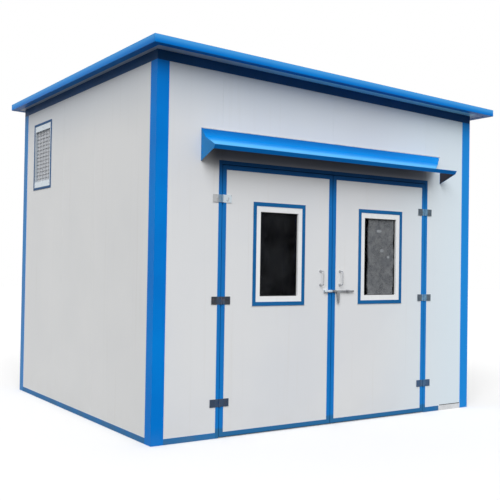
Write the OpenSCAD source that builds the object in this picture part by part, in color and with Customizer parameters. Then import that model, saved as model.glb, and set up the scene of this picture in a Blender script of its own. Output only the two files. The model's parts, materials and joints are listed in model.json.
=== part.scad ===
// Portable cabin of sandwich panels in blue folded steel, with a double door,
// a rain hood over the door and a small vent in the left wall.
// Front is -Y, up is +Z, and the origin is the middle of the ground it stands on.

/* [Body] */
// Width over the wall panels
body_w = 3050; // [2800:10:3600]
// Depth over the wall panels
body_d = 2700; // [2300:10:3600]
// Thickness of a wall panel
panel_t = 50; // [45:1:80]
// Thickness of the folded steel
sheet_t = 2; // [1.5:0.5:3]
// Gap at a joint between two panels
joint_gap = 2; // [1:0.5:4]
// Width of the middle panel of a side wall
side_mid_w = 660; // [400:10:1000]
// Width of the middle panel of the back wall
back_mid_w = 1016; // [800:2:1200]
// Thickness of the floor deck
floor_t = 20; // [12:1:36]

/* [Tracks and posts] */
// Height of the base track
track_h = 40; // [30:1:80]
// Height of the head track
head_h = 66; // [50:1:110]
// Width of one leg of a corner post
post_leg = 90; // [60:1:120]
// Length of base track that is left beside the right door jamb
track_stub = 160; // [100:5:300]

/* [Roof] */
// Height of the underside of the roof at its middle
roof_z = 2578; // [2520:2:2900]
// Fall of the roof from its left edge to its right edge
roof_fall = 103; // [40:1:150]
// Width of the middle roof panel
roof_mid_w = 1100; // [900:10:1200]
// Thickness of a roof panel
roof_t = 50; // [40:1:80]
// Roof overhang at the front
over_front = 145; // [80:5:250]
// Roof overhang at the left
over_left = 95; // [80:5:250]
// Roof overhang at the right
over_right = 135; // [80:5:250]
// Roof overhang at the back
over_back = 120; // [80:2:250]
// Width of the trim flange under the roof edge
trim_under = 55; // [30:1:70]
// Width of the trim flange on top of the roof edge
trim_top = 40; // [20:1:70]

/* [Doorway] */
// Distance from the left face of the cabin to the door frame
frame_left = 492; // [400:2:600]
// Distance from the right face of the cabin to the door frame
frame_right = 510; // [400:2:600]
// Drop from the underside of the roof at its middle to the top of the door frame
frame_drop = 648; // [560:2:800]
// Width of the frame face
frame_face = 26; // [25:1:45]
// Overlap of the stop strip behind a leaf
stop_lap = 20; // [12:1:30]
// Thickness of the threshold strip
sill_t = 3; // [2:1:4]

/* [Door leaves] */
// Thickness of a leaf panel
leaf_core = 40; // [30:1:42]
// Width of the blue edge on a leaf
leaf_face = 32; // [28:1:45]
// Running gap round a leaf
leaf_gap = 5; // [5:0.5:8]
// Gap between the two leaves
meet_gap = 7; // [6.5:0.5:10]

/* [Leaf windows] */
// Distance from the window trim to each side of the leaf
win_aside = 261; // [200:1:300]
// Height of the lower edge of the window trim
win_z = 911; // [700:1:980]
// Distance from the upper edge of the window trim to the top of the leaf
win_above = 244; // [150:2:350]
// Width of the blue window trim
win_trim = 28; // [20:1:40]
// Thickness of the blue window trim
win_trim_t = 5; // [3:1:8]
// Width of the side bars of the white window frame
win_side = 36; // [30:1:60]
// Width of the top and bottom bars of the white window frame
win_end = 40; // [30:1:60]
// How far the white window frame stands out of the leaf
win_proud = 3; // [1:1:4]
// Thickness of the glass
glass_t = 5; // [4:1:8]
// Depth of the glass behind the face of the leaf
glass_back = 16; // [8:1:20]
// Depth of the glass in its groove
glass_bite = 8; // [4:1:12]

/* [Hinges] */
// Width of one hinge plate
hinge_w = 76; // [50:1:90]
// Height of a hinge
hinge_h = 54; // [45:1:90]
// Thickness of a hinge plate
hinge_t = 3; // [2:0.5:4]
// Radius of the knuckle
knuckle_r = 6; // [5:0.5:8]
// How far the knuckle is sunk into the line of the plates
knuckle_sink = 2; // [1:0.5:3]
// Radius of the hinge pin
pin_r = 3; // [2:0.5:3.5]
// Radial clearance of the pin
pin_gap = 0.1; // [0.05:0.05:0.2]
// Gap between knuckles
knuckle_gap = 0.5; // [0.3:0.1:1]
// Distance from the ends of a leaf to the middle of its end hinges
hinge_end = 236; // [120:2:400]

/* [Pull handles and bolt] */
// Height of a pull handle between its feet
pull_h = 104; // [90:1:160]
// Height of the middle of the pull handles
pull_z = 1112; // [1080:1:1200]
// Distance from the meeting edge to the left handle
pull_in_left = 110; // [70:1:140]
// Distance from the meeting edge to the right handle
pull_in_right = 80; // [70:1:140]
// Radius of the handle bar
pull_r = 4; // [4:0.5:7]
// How far the handle stands out of the leaf
pull_out = 44; // [35:1:60]
// Radius of the foot plate
pull_foot_r = 11; // [10:1:20]
// Thickness of the foot plate
pull_foot_t = 3; // [2:0.5:4]
// Height of the bolt
bolt_z = 1013; // [960:1:1030]
// Radius of the bolt rod
bolt_r = 6; // [5:0.5:9]
// Length of the bolt rod
bolt_len = 208; // [160:2:240]
// Length of the keeper tube on the left leaf
keeper_len = 74; // [50:1:90]
// Wall of the keeper tube and the bolt guides
guide_wall = 3; // [2:0.5:5]
// Width of one bolt guide
guide_w = 22; // [14:1:24]
// Distance from the rod's tip to the first guide
guide_a = 8; // [6:1:12]
// Distance from the rod's tip to the second guide
guide_b = 138; // [110:1:150]
// Distance from the rod's tip to the middle of the hasp arm
hasp_at = 52; // [50:1:80]
// Width of the hasp arm at the rod
hasp_w = 32; // [20:1:40]
// Width of the hasp arm at its lower end
hasp_end_w = 18; // [12:1:30]
// Length of the hasp arm below the rod
hasp_len = 92; // [60:1:120]
// Radius of the padlock hole
hasp_hole_r = 5; // [3:0.5:6]
// Thickness of the hasp arm
hasp_t = 4; // [3:0.5:6]

/* [Rain hood] */
// How far the hood reaches past each side of the door frame
hood_side = 148; // [100:2:200]
// How far the hood stands out of the wall
hood_out = 186; // [150:2:260]
// Rise from the top of the door frame to the upper edge of the hood
hood_rise = 210; // [190:2:260]
// Drop from the upper edge to the knee fold
hood_knee_drop = 70; // [40:1:90]
// Distance of the knee fold from the wall
hood_knee_out = 60; // [40:1:100]
// Drop from the upper edge to the front fold
hood_drop = 133; // [100:1:160]
// Height of the front lip
hood_lip = 28; // [20:1:50]
// How far the front lip is folded back under the hood
hood_lip_back = 18; // [6:1:30]
// Height of the flange on the wall
hood_seat = 30; // [20:1:50]
// Clearance from the top of a leaf to the end plates of the hood
hood_clear = 12; // [8:1:30]
// Height of the right end plate at the wall
right_end_h = 95; // [60:1:140]
// How far the cut at the right end reaches along the front fold
hood_cut = 245; // [150:5:300]
// How far the cut starts from the right end at the wall
hood_cut_wall = 15; // [5:1:30]

/* [Vent] */
// Width over the blue vent trim
vent_w = 440; // [300:2:480]
// Height over the blue vent trim
vent_h = 594; // [400:2:640]
// Distance from the back face of the cabin to the vent
vent_back = 278; // [200:2:500]
// Drop from the underside of the roof at its middle to the vent
vent_drop = 137; // [100:1:400]
// Width of the blue vent trim
vent_trim_w = 20; // [12:1:30]
// Thickness of the blue vent trim
vent_trim_t = 4; // [2:1:8]
// Width of the side bars of the vent frame
vent_side = 18; // [12:1:30]
// Width of the top and bottom bars of the vent frame
vent_end = 50; // [30:1:60]
// Number of upright grille bars
grille_nx = 4; // [2:1:8]
// Number of level grille bars
grille_nz = 13; // [4:1:18]
// Width of a grille bar, which is half as thick
grille_bar = 6; // [4:1:8]
// Gap between the upright and the level grille bars
bar_gap = 0.2; // [0.1:0.1:0.6]
// Depth of the grille behind the wall face
grille_back = 8; // [4:1:20]

/* [Hidden] */
$fn = 48;

blue = [0.02, 0.45, 0.83];
white = [0.86, 0.87, 0.88];
zinc = [0.72, 0.74, 0.76];
black = [0.1, 0.1, 0.11];
glass = [0.1, 0.12, 0.15];

// Faces of the walls; the front face is placed so that the origin is under the middle
front_reach = max(over_front, hood_out);
y_front = -(body_d + over_back - front_reach) / 2;
y_back = y_front + body_d;
roof_w = body_w + over_left + over_right;
x_left = over_left - roof_w / 2;
x_right = x_left + body_w;
x_mid = (x_left + x_right) / 2;
z_panel = sheet_t;
z_above = roof_z + roof_fall;
channel_t = panel_t + 2 * sheet_t;
lining = panel_t + sheet_t;

// Door frame and leaves
fx_left = x_left + frame_left;
fx_right = x_right - frame_right;
frame_top = roof_z - frame_drop;
jamb_left = fx_left + frame_face;
jamb_right = fx_right - frame_face;
z_head_low = frame_top - frame_face;
x_meet = (fx_left + fx_right) / 2;
leaf_left_w = x_meet - meet_gap / 2 - jamb_left - leaf_gap;
leaf_right_w = jamb_right - leaf_gap - x_meet - meet_gap / 2;
z_leaf = sill_t + leaf_gap;
z_leaf_top = z_head_low - leaf_gap;
leaf_h = z_leaf_top - z_leaf;
leaf_t = leaf_core + 2 * sheet_t;
y_leaf = y_front - sheet_t;
y_core = y_front;

// Hinge axes lie in the middle of the gap beside each leaf, proud of its face
hinge_out = hinge_t + knuckle_r - knuckle_sink;
y_hinge = y_leaf - hinge_out;
x_hinge_left = jamb_left + leaf_gap / 2;
x_hinge_right = jamb_right - leaf_gap / 2;
hinge_zs = [z_leaf + hinge_end, z_leaf + leaf_h / 2, z_leaf_top - hinge_end];

// Windows lie in the middle of each leaf
win_w = leaf_left_w - 2 * win_aside;
win_h = z_leaf_top - win_above - win_z;
frame_win_w = win_w - 2 * win_trim;
frame_win_h = win_h - 2 * win_trim;
glass_w = frame_win_w - 2 * win_side;
glass_h = frame_win_h - 2 * win_end;
x_leaf_left = jamb_left + leaf_gap;
x_leaf_right = x_meet + meet_gap / 2;
win_x_left = x_leaf_left + win_aside;
win_x_right = x_leaf_right + win_aside;

// Meeting edges carry the handles and the bolt
x_pull_left = x_meet - pull_in_left;
x_pull_right = x_meet + pull_in_right;
bolt_out = bolt_r + guide_wall + 1;
y_bolt = y_leaf - bolt_out;
x_bolt = x_meet + leaf_gap;
x_keeper_end = x_meet - leaf_gap;
bolt_gap = 0.3;

// Rain hood
hx_left = fx_left - hood_side;
hx_right = fx_right + hood_side;
hood_top = frame_top + hood_rise;
hood_low = z_leaf_top + hood_clear;
z_hood_fold = hood_top - hood_drop;
z_hood_lip = z_hood_fold - hood_lip;
hood_lip_end = -hood_out + hood_lip_back;
hood_tip = [hood_lip_end + sheet_t, z_hood_lip + sheet_t / 2];
hood_under = [[-hood_out + 1.5 * sheet_t, z_hood_fold - sheet_t / 2],
    [-hood_knee_out + sheet_t / 2, hood_top - hood_knee_drop - 1.5 * sheet_t],
    [-sheet_t, hood_top - 2.5 * sheet_t]];

// Vent
vent_y1 = y_back - vent_back;
vent_y0 = vent_y1 - vent_w;
vent_z = roof_z - vent_drop - vent_h;
hole_w = vent_w - 2 * vent_trim_w;
hole_h = vent_h - 2 * vent_trim_w;
open_w = hole_w - 2 * vent_side;
open_h = hole_h - 2 * vent_end;

// One mitred side of a rectangular ring seen from above, in clockwise order from the front
module mitred_side(side, x0, y0, x1, y1, t) {
    plans = [
        [[x0, y0], [x1, y0], [x1 - t, y0 + t], [x0 + t, y0 + t]],
        [[x1, y0], [x1, y1], [x1 - t, y1 - t], [x1 - t, y0 + t]],
        [[x1, y1], [x0, y1], [x0 + t, y1 - t], [x1 - t, y1 - t]],
        [[x0, y1], [x0, y0], [x0 + t, y0 + t], [x0 + t, y1 - t]]];
    polygon(plans[side]);
}

module slab(x0, y0, z0, x1, y1, z1) {
    translate([x0, y0, z0]) cube([x1 - x0, y1 - y0, z1 - z0]);
}

// Layer between two planes that fall with the roof, given by their height over its underside
module falling(lo, hi) {
    y0 = y_front - 2 * over_front;
    y1 = y_back + 2 * over_back;
    translate([0, y1, 0]) rotate([90, 0, 0]) linear_extrude(y1 - y0)
        polygon([[-roof_w, z_above + lo], [roof_w, roof_z - roof_fall + lo],
            [roof_w, roof_z - roof_fall + hi], [-roof_w, z_above + hi]]);
}

// A piece of the left side, and its like on the right side
module both_sides() {
    children();
    translate([2 * x_mid, 0, 0]) mirror([1, 0, 0]) children();
}

// Keeps what stands under the roof, cut to its fall
module under_roof(drop) {
    intersection() {
        children();
        falling(-2 * roof_z, -drop);
    }
}

// Floor and base tracks
module floor() {
    color("gray")
        slab(x_left + lining, y_front + lining, 0, x_right - lining, y_back - lining, floor_t);
}

module threshold() {
    color(zinc) slab(jamb_left, y_leaf, 0, jamb_right, y_front + lining, sill_t);
}

// Track along X under a panel whose outer face is at y 0: web, outer flange and inner flange
module track(web, face, inner) {
    slab(web[0], 0, 0, web[1], lining, sheet_t);
    slab(face[0], -sheet_t, 0, face[1], 0, track_h);
    slab(inner[0], panel_t, 0, inner[1], lining, track_h);
}

module base_track_front_left() {
    color(blue) translate([0, y_front, 0])
        track([x_left, fx_left], [x_left + post_leg, fx_left], [x_left + panel_t, fx_left]);
}

module base_track_front_right() {
    span = [fx_right, fx_right + track_stub];
    color(blue) translate([0, y_front, 0]) track(span, span, span);
}

// The end of the front track by the right post has lost its blue coat
module base_track_bare_end() {
    x0 = fx_right + track_stub;
    color(zinc) translate([0, y_front, 0])
        track([x0, x_right], [x0, x_right - post_leg], [x0, x_right - panel_t]);
}

module base_track_back() {
    color(blue) translate([0, y_back, 0]) mirror([0, 1, 0])
        track([x_left, x_right], [x_left + post_leg, x_right - post_leg],
            [x_left + panel_t, x_right - panel_t]);
}

module base_tracks_side() {
    inside = [y_front + lining, y_back - lining];
    color(blue) both_sides()
        translate([x_left, 0, 0]) mirror([1, -1, 0])
            track(inside, [y_front + post_leg, y_back - post_leg], inside);
}

// Walls
module front_wall_left() {
    color(white) under_roof(sheet_t)
        slab(x_left, y_front, z_panel, jamb_left - sheet_t, y_front + panel_t, z_above);
}

module front_wall_right() {
    color(white) under_roof(sheet_t)
        slab(jamb_right + sheet_t, y_front, z_panel, x_right, y_front + panel_t, z_above);
}

module front_wall_over_door() {
    x0 = jamb_left - sheet_t + joint_gap;
    x1 = jamb_right + sheet_t - joint_gap;
    z0 = z_head_low + sheet_t;
    color(white) under_roof(sheet_t) {
        slab(x0, y_front, z0, x_meet - joint_gap / 2, y_front + panel_t, z_above);
        slab(x_meet + joint_gap / 2, y_front, z0, x1, y_front + panel_t, z_above);
    }
}

// Three panels of a left side wall, between the front and the back wall
module side_wall_panels() {
    y_mid = (y_front + y_back) / 2;
    edges = [y_front + panel_t, y_mid - side_mid_w / 2, y_mid + side_mid_w / 2, y_back - panel_t];
    for (i = [0 : 2]) {
        lo = edges[i] + (i == 0 ? 0 : joint_gap / 2);
        hi = edges[i + 1] - (i == 2 ? 0 : joint_gap / 2);
        slab(x_left, lo, z_panel, x_left + panel_t, hi, z_above);
    }
}

module left_wall() {
    color(white) under_roof(sheet_t) difference() {
        side_wall_panels();
        slab(x_left - 1, vent_y0 + vent_trim_w, vent_z + vent_trim_w,
            x_left + panel_t + 1, vent_y1 - vent_trim_w, vent_z + vent_h - vent_trim_w);
    }
}

module right_wall() {
    color(white) under_roof(sheet_t) translate([2 * x_mid, 0, 0]) mirror([1, 0, 0]) side_wall_panels();
}

module back_wall() {
    edges = [x_left, x_mid - back_mid_w / 2, x_mid + back_mid_w / 2, x_right];
    color(white) under_roof(sheet_t)
        for (i = [0 : 2]) {
            lo = edges[i] + (i == 0 ? 0 : joint_gap / 2);
            hi = edges[i + 1] - (i == 2 ? 0 : joint_gap / 2);
            slab(lo, y_back - panel_t, z_panel, hi, y_back, z_above);
        }
}

// Folded angle over the front left corner
module post_front_left() {
    translate([x_left, y_front, 0]) linear_extrude(z_above)
        polygon([[-sheet_t, -sheet_t], [post_leg, -sheet_t], [post_leg, 0], [0, 0],
            [0, post_leg], [-sheet_t, post_leg]]);
}

module corner_posts() {
    color(blue) under_roof(head_h) both_sides() {
        post_front_left();
        translate([0, y_front + y_back, 0]) mirror([0, 1, 0]) post_front_left();
    }
}

// One mitred side of a ring, cut out of a layer that falls with the roof
module falling_side(side, x0, y0, x1, y1, t, lo, hi) {
    intersection() {
        linear_extrude(2 * roof_z) mitred_side(side, x0, y0, x1, y1, t);
        falling(lo, hi);
    }
}

// Head track: web over the panels, flanges down both faces, mitred at the corners
module head_track(side) {
    x0 = x_left - sheet_t;
    x1 = x_right + sheet_t;
    y0 = y_front - sheet_t;
    y1 = y_back + sheet_t;
    falling_side(side, x0, y0, x1, y1, channel_t, -sheet_t, 0);
    falling_side(side, x0, y0, x1, y1, sheet_t, -head_h, 0);
    falling_side(side, x0 + lining, y0 + lining, x1 - lining, y1 - lining, sheet_t, -head_h, 0);
}

module head_tracks_long() {
    color(blue) {
        head_track(0);
        head_track(2);
    }
}

module head_tracks_side() {
    color(blue) {
        head_track(1);
        head_track(3);
    }
}

// Roof
module roof_panels() {
    half = roof_w / 2 - sheet_t;
    edges = [-half, -roof_mid_w / 2, roof_mid_w / 2, half];
    color(white) intersection() {
        for (i = [0 : 2]) {
            lo = edges[i] + (i == 0 ? 0 : joint_gap / 2);
            hi = edges[i + 1] - (i == 2 ? 0 : joint_gap / 2);
            slab(lo, y_front - over_front + sheet_t, 0, hi, y_back + over_back - sheet_t, 2 * roof_z);
        }
        falling(0, roof_t);
    }
}

// Folded trim over the edge of the roof: flange below, face and top flange
module roof_trim(side) {
    x0 = -roof_w / 2;
    x1 = roof_w / 2;
    y0 = y_front - over_front;
    y1 = y_back + over_back;
    falling_side(side, x0, y0, x1, y1, trim_under, -sheet_t, 0);
    falling_side(side, x0, y0, x1, y1, sheet_t, -sheet_t, roof_t + sheet_t);
    falling_side(side, x0, y0, x1, y1, trim_top, roof_t, roof_t + sheet_t);
}

module roof_trims_long() {
    color(blue) {
        roof_trim(0);
        roof_trim(2);
    }
}

module roof_trims_side() {
    color(blue) {
        roof_trim(1);
        roof_trim(3);
    }
}

// Door frame: a channel over the cut edge of the wall, with a stop strip behind the leaf
module jamb_left_solid() {
    y0 = y_front - sheet_t;
    y1 = y_front + panel_t;
    difference() {
        slab(fx_left, y0, 0, jamb_left, y1 + sheet_t, z_head_low);
        slab(fx_left - 1, y_front, -1, jamb_left - sheet_t, y1, z_head_low + 1);
    }
    slab(jamb_left, y1, sill_t, jamb_left + leaf_gap + stop_lap, y1 + sheet_t, z_head_low);
}

module door_jambs() {
    color(blue) {
        jamb_left_solid();
        translate([fx_left + fx_right, 0, 0]) mirror([1, 0, 0]) jamb_left_solid();
    }
}

module door_head() {
    y0 = y_front - sheet_t;
    y1 = y_front + panel_t;
    color(blue) {
        difference() {
            slab(fx_left, y0, z_head_low, fx_right, y1 + sheet_t, frame_top);
            slab(fx_left - 1, y_front, z_head_low + sheet_t, fx_right + 1, y1, frame_top + 1);
            slab(fx_left - 1, y_front, z_head_low - 1, jamb_left - sheet_t, y1, frame_top + 1);
            slab(jamb_right + sheet_t, y_front, z_head_low - 1, fx_right + 1, y1, frame_top + 1);
        }
        slab(jamb_left + leaf_gap + stop_lap, y1, z_head_low - leaf_gap - stop_lap,
            jamb_right - leaf_gap - stop_lap, y1 + sheet_t, z_head_low);
    }
}

// Rain hood; its profile is drawn outward from the wall, and up
module along_x(x0, x1, outline) {
    translate([x0, y_front, 0]) rotate([90, 0, 90]) linear_extrude(x1 - x0) polygon(outline);
}

module hood_sheet() {
    outline = concat(
        [[0, hood_top], [-hood_knee_out, hood_top - hood_knee_drop], [-hood_out, z_hood_fold],
            [hood_lip_end, z_hood_lip], hood_tip],
        hood_under,
        [[-sheet_t, hood_top - hood_seat], [0, hood_top - hood_seat]]);
    color(blue) difference() {
        along_x(hx_left, hx_right, outline);
        translate([hx_right, y_front, z_hood_fold]) linear_extrude(hood_drop + 1)
            polygon([[1, 1], [-hood_cut_wall, 1], [-hood_cut_wall, 0], [-hood_cut, -hood_out + sheet_t],
                [1, -hood_out + sheet_t]]);
    }
}

// Folded end plates: a full one on the left, and a low one on the right
module hood_ends() {
    color(blue) {
        along_x(hx_left, hx_left + sheet_t,
            concat([hood_tip], hood_under,
                [[-sheet_t, hood_top - hood_seat], [0, hood_top - hood_seat], [0, hood_low]]));
        along_x(hx_right - sheet_t, hx_right,
            [hood_tip, hood_under[0], [0, hood_low + right_end_h], [0, hood_low]]);
    }
}

// Vent
module vent_ring(w, h, side, end, x0, depth) {
    translate([x0, vent_y0 + (vent_w - w) / 2, vent_z + (vent_h - h) / 2]) difference() {
        cube([depth, w, h]);
        translate([-1, side, end]) cube([depth + 2, w - 2 * side, h - 2 * end]);
    }
}

module vent_trim() {
    color(blue) vent_ring(vent_w, vent_h, vent_trim_w, vent_trim_w, x_left - vent_trim_t, vent_trim_t);
}

module vent_frame() {
    color(white) vent_ring(hole_w, hole_h, vent_side, vent_end, x_left - vent_trim_t / 2, panel_t + vent_trim_t / 2);
}

module vent_grille() {
    y0 = vent_y0 + vent_trim_w + vent_side;
    z0 = vent_z + vent_trim_w + vent_end;
    x0 = x_left + grille_back;
    step_y = open_w / (grille_nx + 1);
    step_z = open_h / (grille_nz + 1);
    half = grille_bar / 2;
    color(zinc) {
        // Upright bars in front
        for (i = [1 : grille_nx])
            translate([x0, y0 + i * step_y - half, z0]) cube([half, grille_bar, open_h]);
        // Level bars right behind them
        for (i = [1 : grille_nz])
            translate([x0 + half + bar_gap, y0, z0 + i * step_z - half]) cube([half, open_w, grille_bar]);
    }
}

// Hinge halves, drawn for the left leaf with the pin on the Z axis and the plates along X
module knuckle(z0, z1, bore) {
    difference() {
        translate([0, 0, z0]) cylinder(r = knuckle_r, h = z1 - z0);
        if (bore > 0) translate([0, 0, z0 - 1]) cylinder(r = bore, h = z1 - z0 + 2);
    }
}

module hinge_plate(dir, z0, z1, inner) {
    y_plate = hinge_out - hinge_t;
    x0 = dir < 0 ? -hinge_w : inner;
    x1 = dir < 0 ? -inner : hinge_w;
    slab(x0, y_plate, z0, x1, hinge_out, z1);
}

// Fixed half: plate, two outer knuckles and the pin
module hinge_fixed() {
    third = hinge_h / 3;
    clear = knuckle_r + 1;
    translate([0, 0, -hinge_h / 2]) union() {
        hinge_plate(-1, 0, hinge_h, clear);
        hinge_plate(-1, 0, third, leaf_gap / 2);
        hinge_plate(-1, 2 * third, hinge_h, leaf_gap / 2);
        knuckle(0, third, 0);
        knuckle(2 * third, hinge_h, 0);
        cylinder(r = pin_r, h = hinge_h);
    }
}

// Moving half: plate and the middle knuckle
module hinge_moving() {
    third = hinge_h / 3;
    clear = knuckle_r + 1;
    z0 = third + knuckle_gap;
    z1 = 2 * third - knuckle_gap;
    translate([0, 0, -hinge_h / 2]) difference() {
        union() {
            hinge_plate(1, 0, hinge_h, clear);
            hinge_plate(1, z0, z1, leaf_gap / 2);
            knuckle(z0, z1, 0);
        }
        translate([0, 0, -1]) cylinder(r = pin_r + pin_gap, h = hinge_h + 2);
    }
}

module left_hinge_plates() {
    color(black)
        for (z = hinge_zs) translate([x_hinge_left, y_hinge, z]) hinge_fixed();
}

module left_hinge_leaves() {
    color(black)
        for (z = hinge_zs) translate([x_hinge_left, y_hinge, z]) hinge_moving();
}

module right_hinge_plates() {
    color(zinc)
        for (z = hinge_zs) translate([x_hinge_right, y_hinge, z]) mirror([1, 0, 0]) hinge_fixed();
}

module right_hinge_leaves() {
    color(zinc)
        for (z = hinge_zs) translate([x_hinge_right, y_hinge, z]) mirror([1, 0, 0]) hinge_moving();
}

// Door leaves
module leaf_panel(x0, w, win_x) {
    difference() {
        slab(x0 + sheet_t, y_core, z_leaf + sheet_t, x0 + w - sheet_t, y_core + leaf_core, z_leaf + leaf_h - sheet_t);
        slab(win_x + win_trim, y_core - 1, win_z + win_trim,
            win_x + win_w - win_trim, y_core + leaf_core + 1, win_z + win_h - win_trim);
    }
}

module leaf_edge(x0, w) {
    difference() {
        slab(x0, y_leaf, z_leaf, x0 + w, y_leaf + leaf_t, z_leaf + leaf_h);
        slab(x0 + sheet_t, y_core, z_leaf + sheet_t, x0 + w - sheet_t, y_core + leaf_core, z_leaf + leaf_h - sheet_t);
        slab(x0 + leaf_face, y_leaf - 1, z_leaf + leaf_face,
            x0 + w - leaf_face, y_leaf + leaf_t + 1, z_leaf + leaf_h - leaf_face);
    }
}

module window_ring(x, z, w, h, side, end, y0, depth) {
    translate([x, y0, z]) difference() {
        cube([w, depth, h]);
        translate([side, -1, end]) cube([w - 2 * side, depth + 2, h - 2 * end]);
    }
}

// Blue border on both faces of the leaf
module window_trim(x) {
    window_ring(x, win_z, win_w, win_h, win_trim, win_trim, y_core - win_trim_t, win_trim_t);
    window_ring(x, win_z, win_w, win_h, win_trim, win_trim, y_core + leaf_core, win_trim_t);
}

module glass_pane(x) {
    slab(x + win_trim + win_side - glass_bite, y_core + glass_back, win_z + win_trim + win_end - glass_bite,
        x + win_trim + win_side + glass_w + glass_bite, y_core + glass_back + glass_t,
        win_z + win_trim + win_end + glass_h + glass_bite);
}

module window_frame(x) {
    difference() {
        window_ring(x + win_trim, win_z + win_trim, frame_win_w, frame_win_h, win_side, win_end,
            y_core - win_proud, leaf_core + 2 * win_proud);
        glass_pane(x);
    }
}

// Pull handle: a bowed bar on two foot plates, drawn with its middle at the origin and out along -Y
module pull() {
    bend = pull_r * 3;
    half = pull_h / 2;
    straight = pull_out - pull_r - bend;
    for (s = [-1, 1]) {
        translate([0, 0, s * half]) rotate([90, 0, 0]) cylinder(r = pull_foot_r, h = pull_foot_t);
        translate([0, 0, s * half]) rotate([90, 0, 0]) cylinder(r = pull_r, h = straight);
    }
    for (s = [0, 1]) mirror([0, 0, s])
        translate([0, -straight, half - bend]) rotate([90, 0, -90]) rotate_extrude(angle = 90)
            translate([bend, 0]) circle(r = pull_r);
    translate([0, -straight - bend, -half + bend]) cylinder(r = pull_r, h = pull_h - 2 * bend);
}

module left_pull() {
    color(zinc) translate([x_pull_left, y_core, pull_z]) pull();
}

module right_pull() {
    color(zinc) translate([x_pull_right, y_core, pull_z]) pull();
}

// Hasp arm seen from the front: it tapers to a rounded end with the hole of the padlock
module hasp_face() {
    end_r = hasp_end_w / 2;
    difference() {
        union() {
            polygon([[-hasp_w / 2, 0], [hasp_w / 2, 0], [end_r, end_r - hasp_len], [-end_r, end_r - hasp_len]]);
            translate([0, end_r - hasp_len]) circle(r = end_r);
        }
        translate([0, end_r - hasp_len]) circle(r = hasp_hole_r);
    }
}

// Bolt: a rod with a hasp arm on the right leaf, its guides, and a keeper tube on the left leaf
module bolt_rod() {
    color(zinc) translate([x_bolt, y_bolt, bolt_z]) union() {
        rotate([0, 90, 0]) cylinder(r = bolt_r, h = bolt_len);
        translate([hasp_at, -bolt_r + hasp_t, 0]) rotate([90, 0, 0]) linear_extrude(hasp_t) hasp_face();
    }
}

module guide(x0, x1, y_seat) {
    r = bolt_r + guide_wall;
    difference() {
        union() {
            translate([x0, y_bolt, bolt_z]) rotate([0, 90, 0]) cylinder(r = r, h = x1 - x0);
            slab(x0, y_bolt, bolt_z - r, x1, y_seat, bolt_z + r);
        }
        translate([x0 - 1, y_bolt, bolt_z]) rotate([0, 90, 0]) cylinder(r = bolt_r + bolt_gap, h = x1 - x0 + 2);
    }
}

module bolt_guides() {
    color(zinc) {
        guide(x_bolt + guide_a, x_bolt + guide_a + guide_w, y_leaf);
        guide(x_bolt + guide_b, x_bolt + guide_b + guide_w, y_core);
    }
}

module bolt_keeper() {
    color(zinc) guide(x_keeper_end - keeper_len, x_keeper_end, y_leaf);
}

module left_door_panel() {
    color(white) leaf_panel(x_leaf_left, leaf_left_w, win_x_left);
}

module left_door_edge() {
    color(blue) leaf_edge(x_leaf_left, leaf_left_w);
}

module left_window_trim() {
    color(blue) window_trim(win_x_left);
}

module left_window_frame() {
    color(white) window_frame(win_x_left);
}

module left_window_glass() {
    color(glass) glass_pane(win_x_left);
}

module right_door_panel() {
    color(white) leaf_panel(x_leaf_right, leaf_right_w, win_x_right);
}

module right_door_edge() {
    color(blue) leaf_edge(x_leaf_right, leaf_right_w);
}

module right_window_trim() {
    color(blue) window_trim(win_x_right);
}

module right_window_frame() {
    color(white) window_frame(win_x_right);
}

module right_window_glass() {
    color(glass) glass_pane(win_x_right);
}

floor();
threshold();
base_track_front_left();
base_track_front_right();
base_track_bare_end();
base_track_back();
base_tracks_side();
front_wall_left();
front_wall_right();
front_wall_over_door();
left_wall();
right_wall();
back_wall();
corner_posts();
head_tracks_long();
head_tracks_side();
roof_panels();
roof_trims_long();
roof_trims_side();
door_jambs();
door_head();
hood_sheet();
hood_ends();
vent_trim();
vent_frame();
vent_grille();
left_hinge_plates();
right_hinge_plates();
left_door_panel();
left_door_edge();
left_window_trim();
left_window_frame();
left_window_glass();
left_pull();
left_hinge_leaves();
bolt_keeper();
right_door_panel();
right_door_edge();
right_window_trim();
right_window_frame();
right_window_glass();
right_pull();
right_hinge_leaves();
bolt_rod();
bolt_guides();
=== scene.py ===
import bpy
import bmesh
import json
import math
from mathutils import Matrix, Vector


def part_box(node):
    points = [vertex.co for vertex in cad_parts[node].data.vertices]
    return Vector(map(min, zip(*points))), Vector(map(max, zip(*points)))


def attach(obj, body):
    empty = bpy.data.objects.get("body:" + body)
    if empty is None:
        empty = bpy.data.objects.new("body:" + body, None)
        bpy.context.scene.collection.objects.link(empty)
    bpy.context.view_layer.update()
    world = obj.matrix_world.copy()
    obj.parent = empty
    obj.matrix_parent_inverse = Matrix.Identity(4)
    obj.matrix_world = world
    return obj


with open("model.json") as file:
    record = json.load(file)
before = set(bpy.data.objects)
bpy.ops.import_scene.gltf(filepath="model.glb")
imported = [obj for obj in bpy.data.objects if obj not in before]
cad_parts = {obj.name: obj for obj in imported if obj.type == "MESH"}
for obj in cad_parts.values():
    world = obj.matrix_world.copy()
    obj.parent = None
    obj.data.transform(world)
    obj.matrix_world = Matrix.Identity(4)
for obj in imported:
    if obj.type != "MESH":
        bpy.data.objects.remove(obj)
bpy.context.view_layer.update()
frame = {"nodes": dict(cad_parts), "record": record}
print("frame loaded with", len(frame["nodes"]), "nodes")


# small helpers

def deselectAll():
    bpy.ops.object.select_all(action="DESELECT")


def pickPiece(piece):
    deselectAll()
    piece.select_set(True)
    bpy.context.view_layer.objects.active = piece


def applyPlace(piece):
    # leaves the object at the origin, with its place in its mesh
    pickPiece(piece)
    bpy.ops.object.transform_apply(location=True, rotation=True, scale=True)


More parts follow.
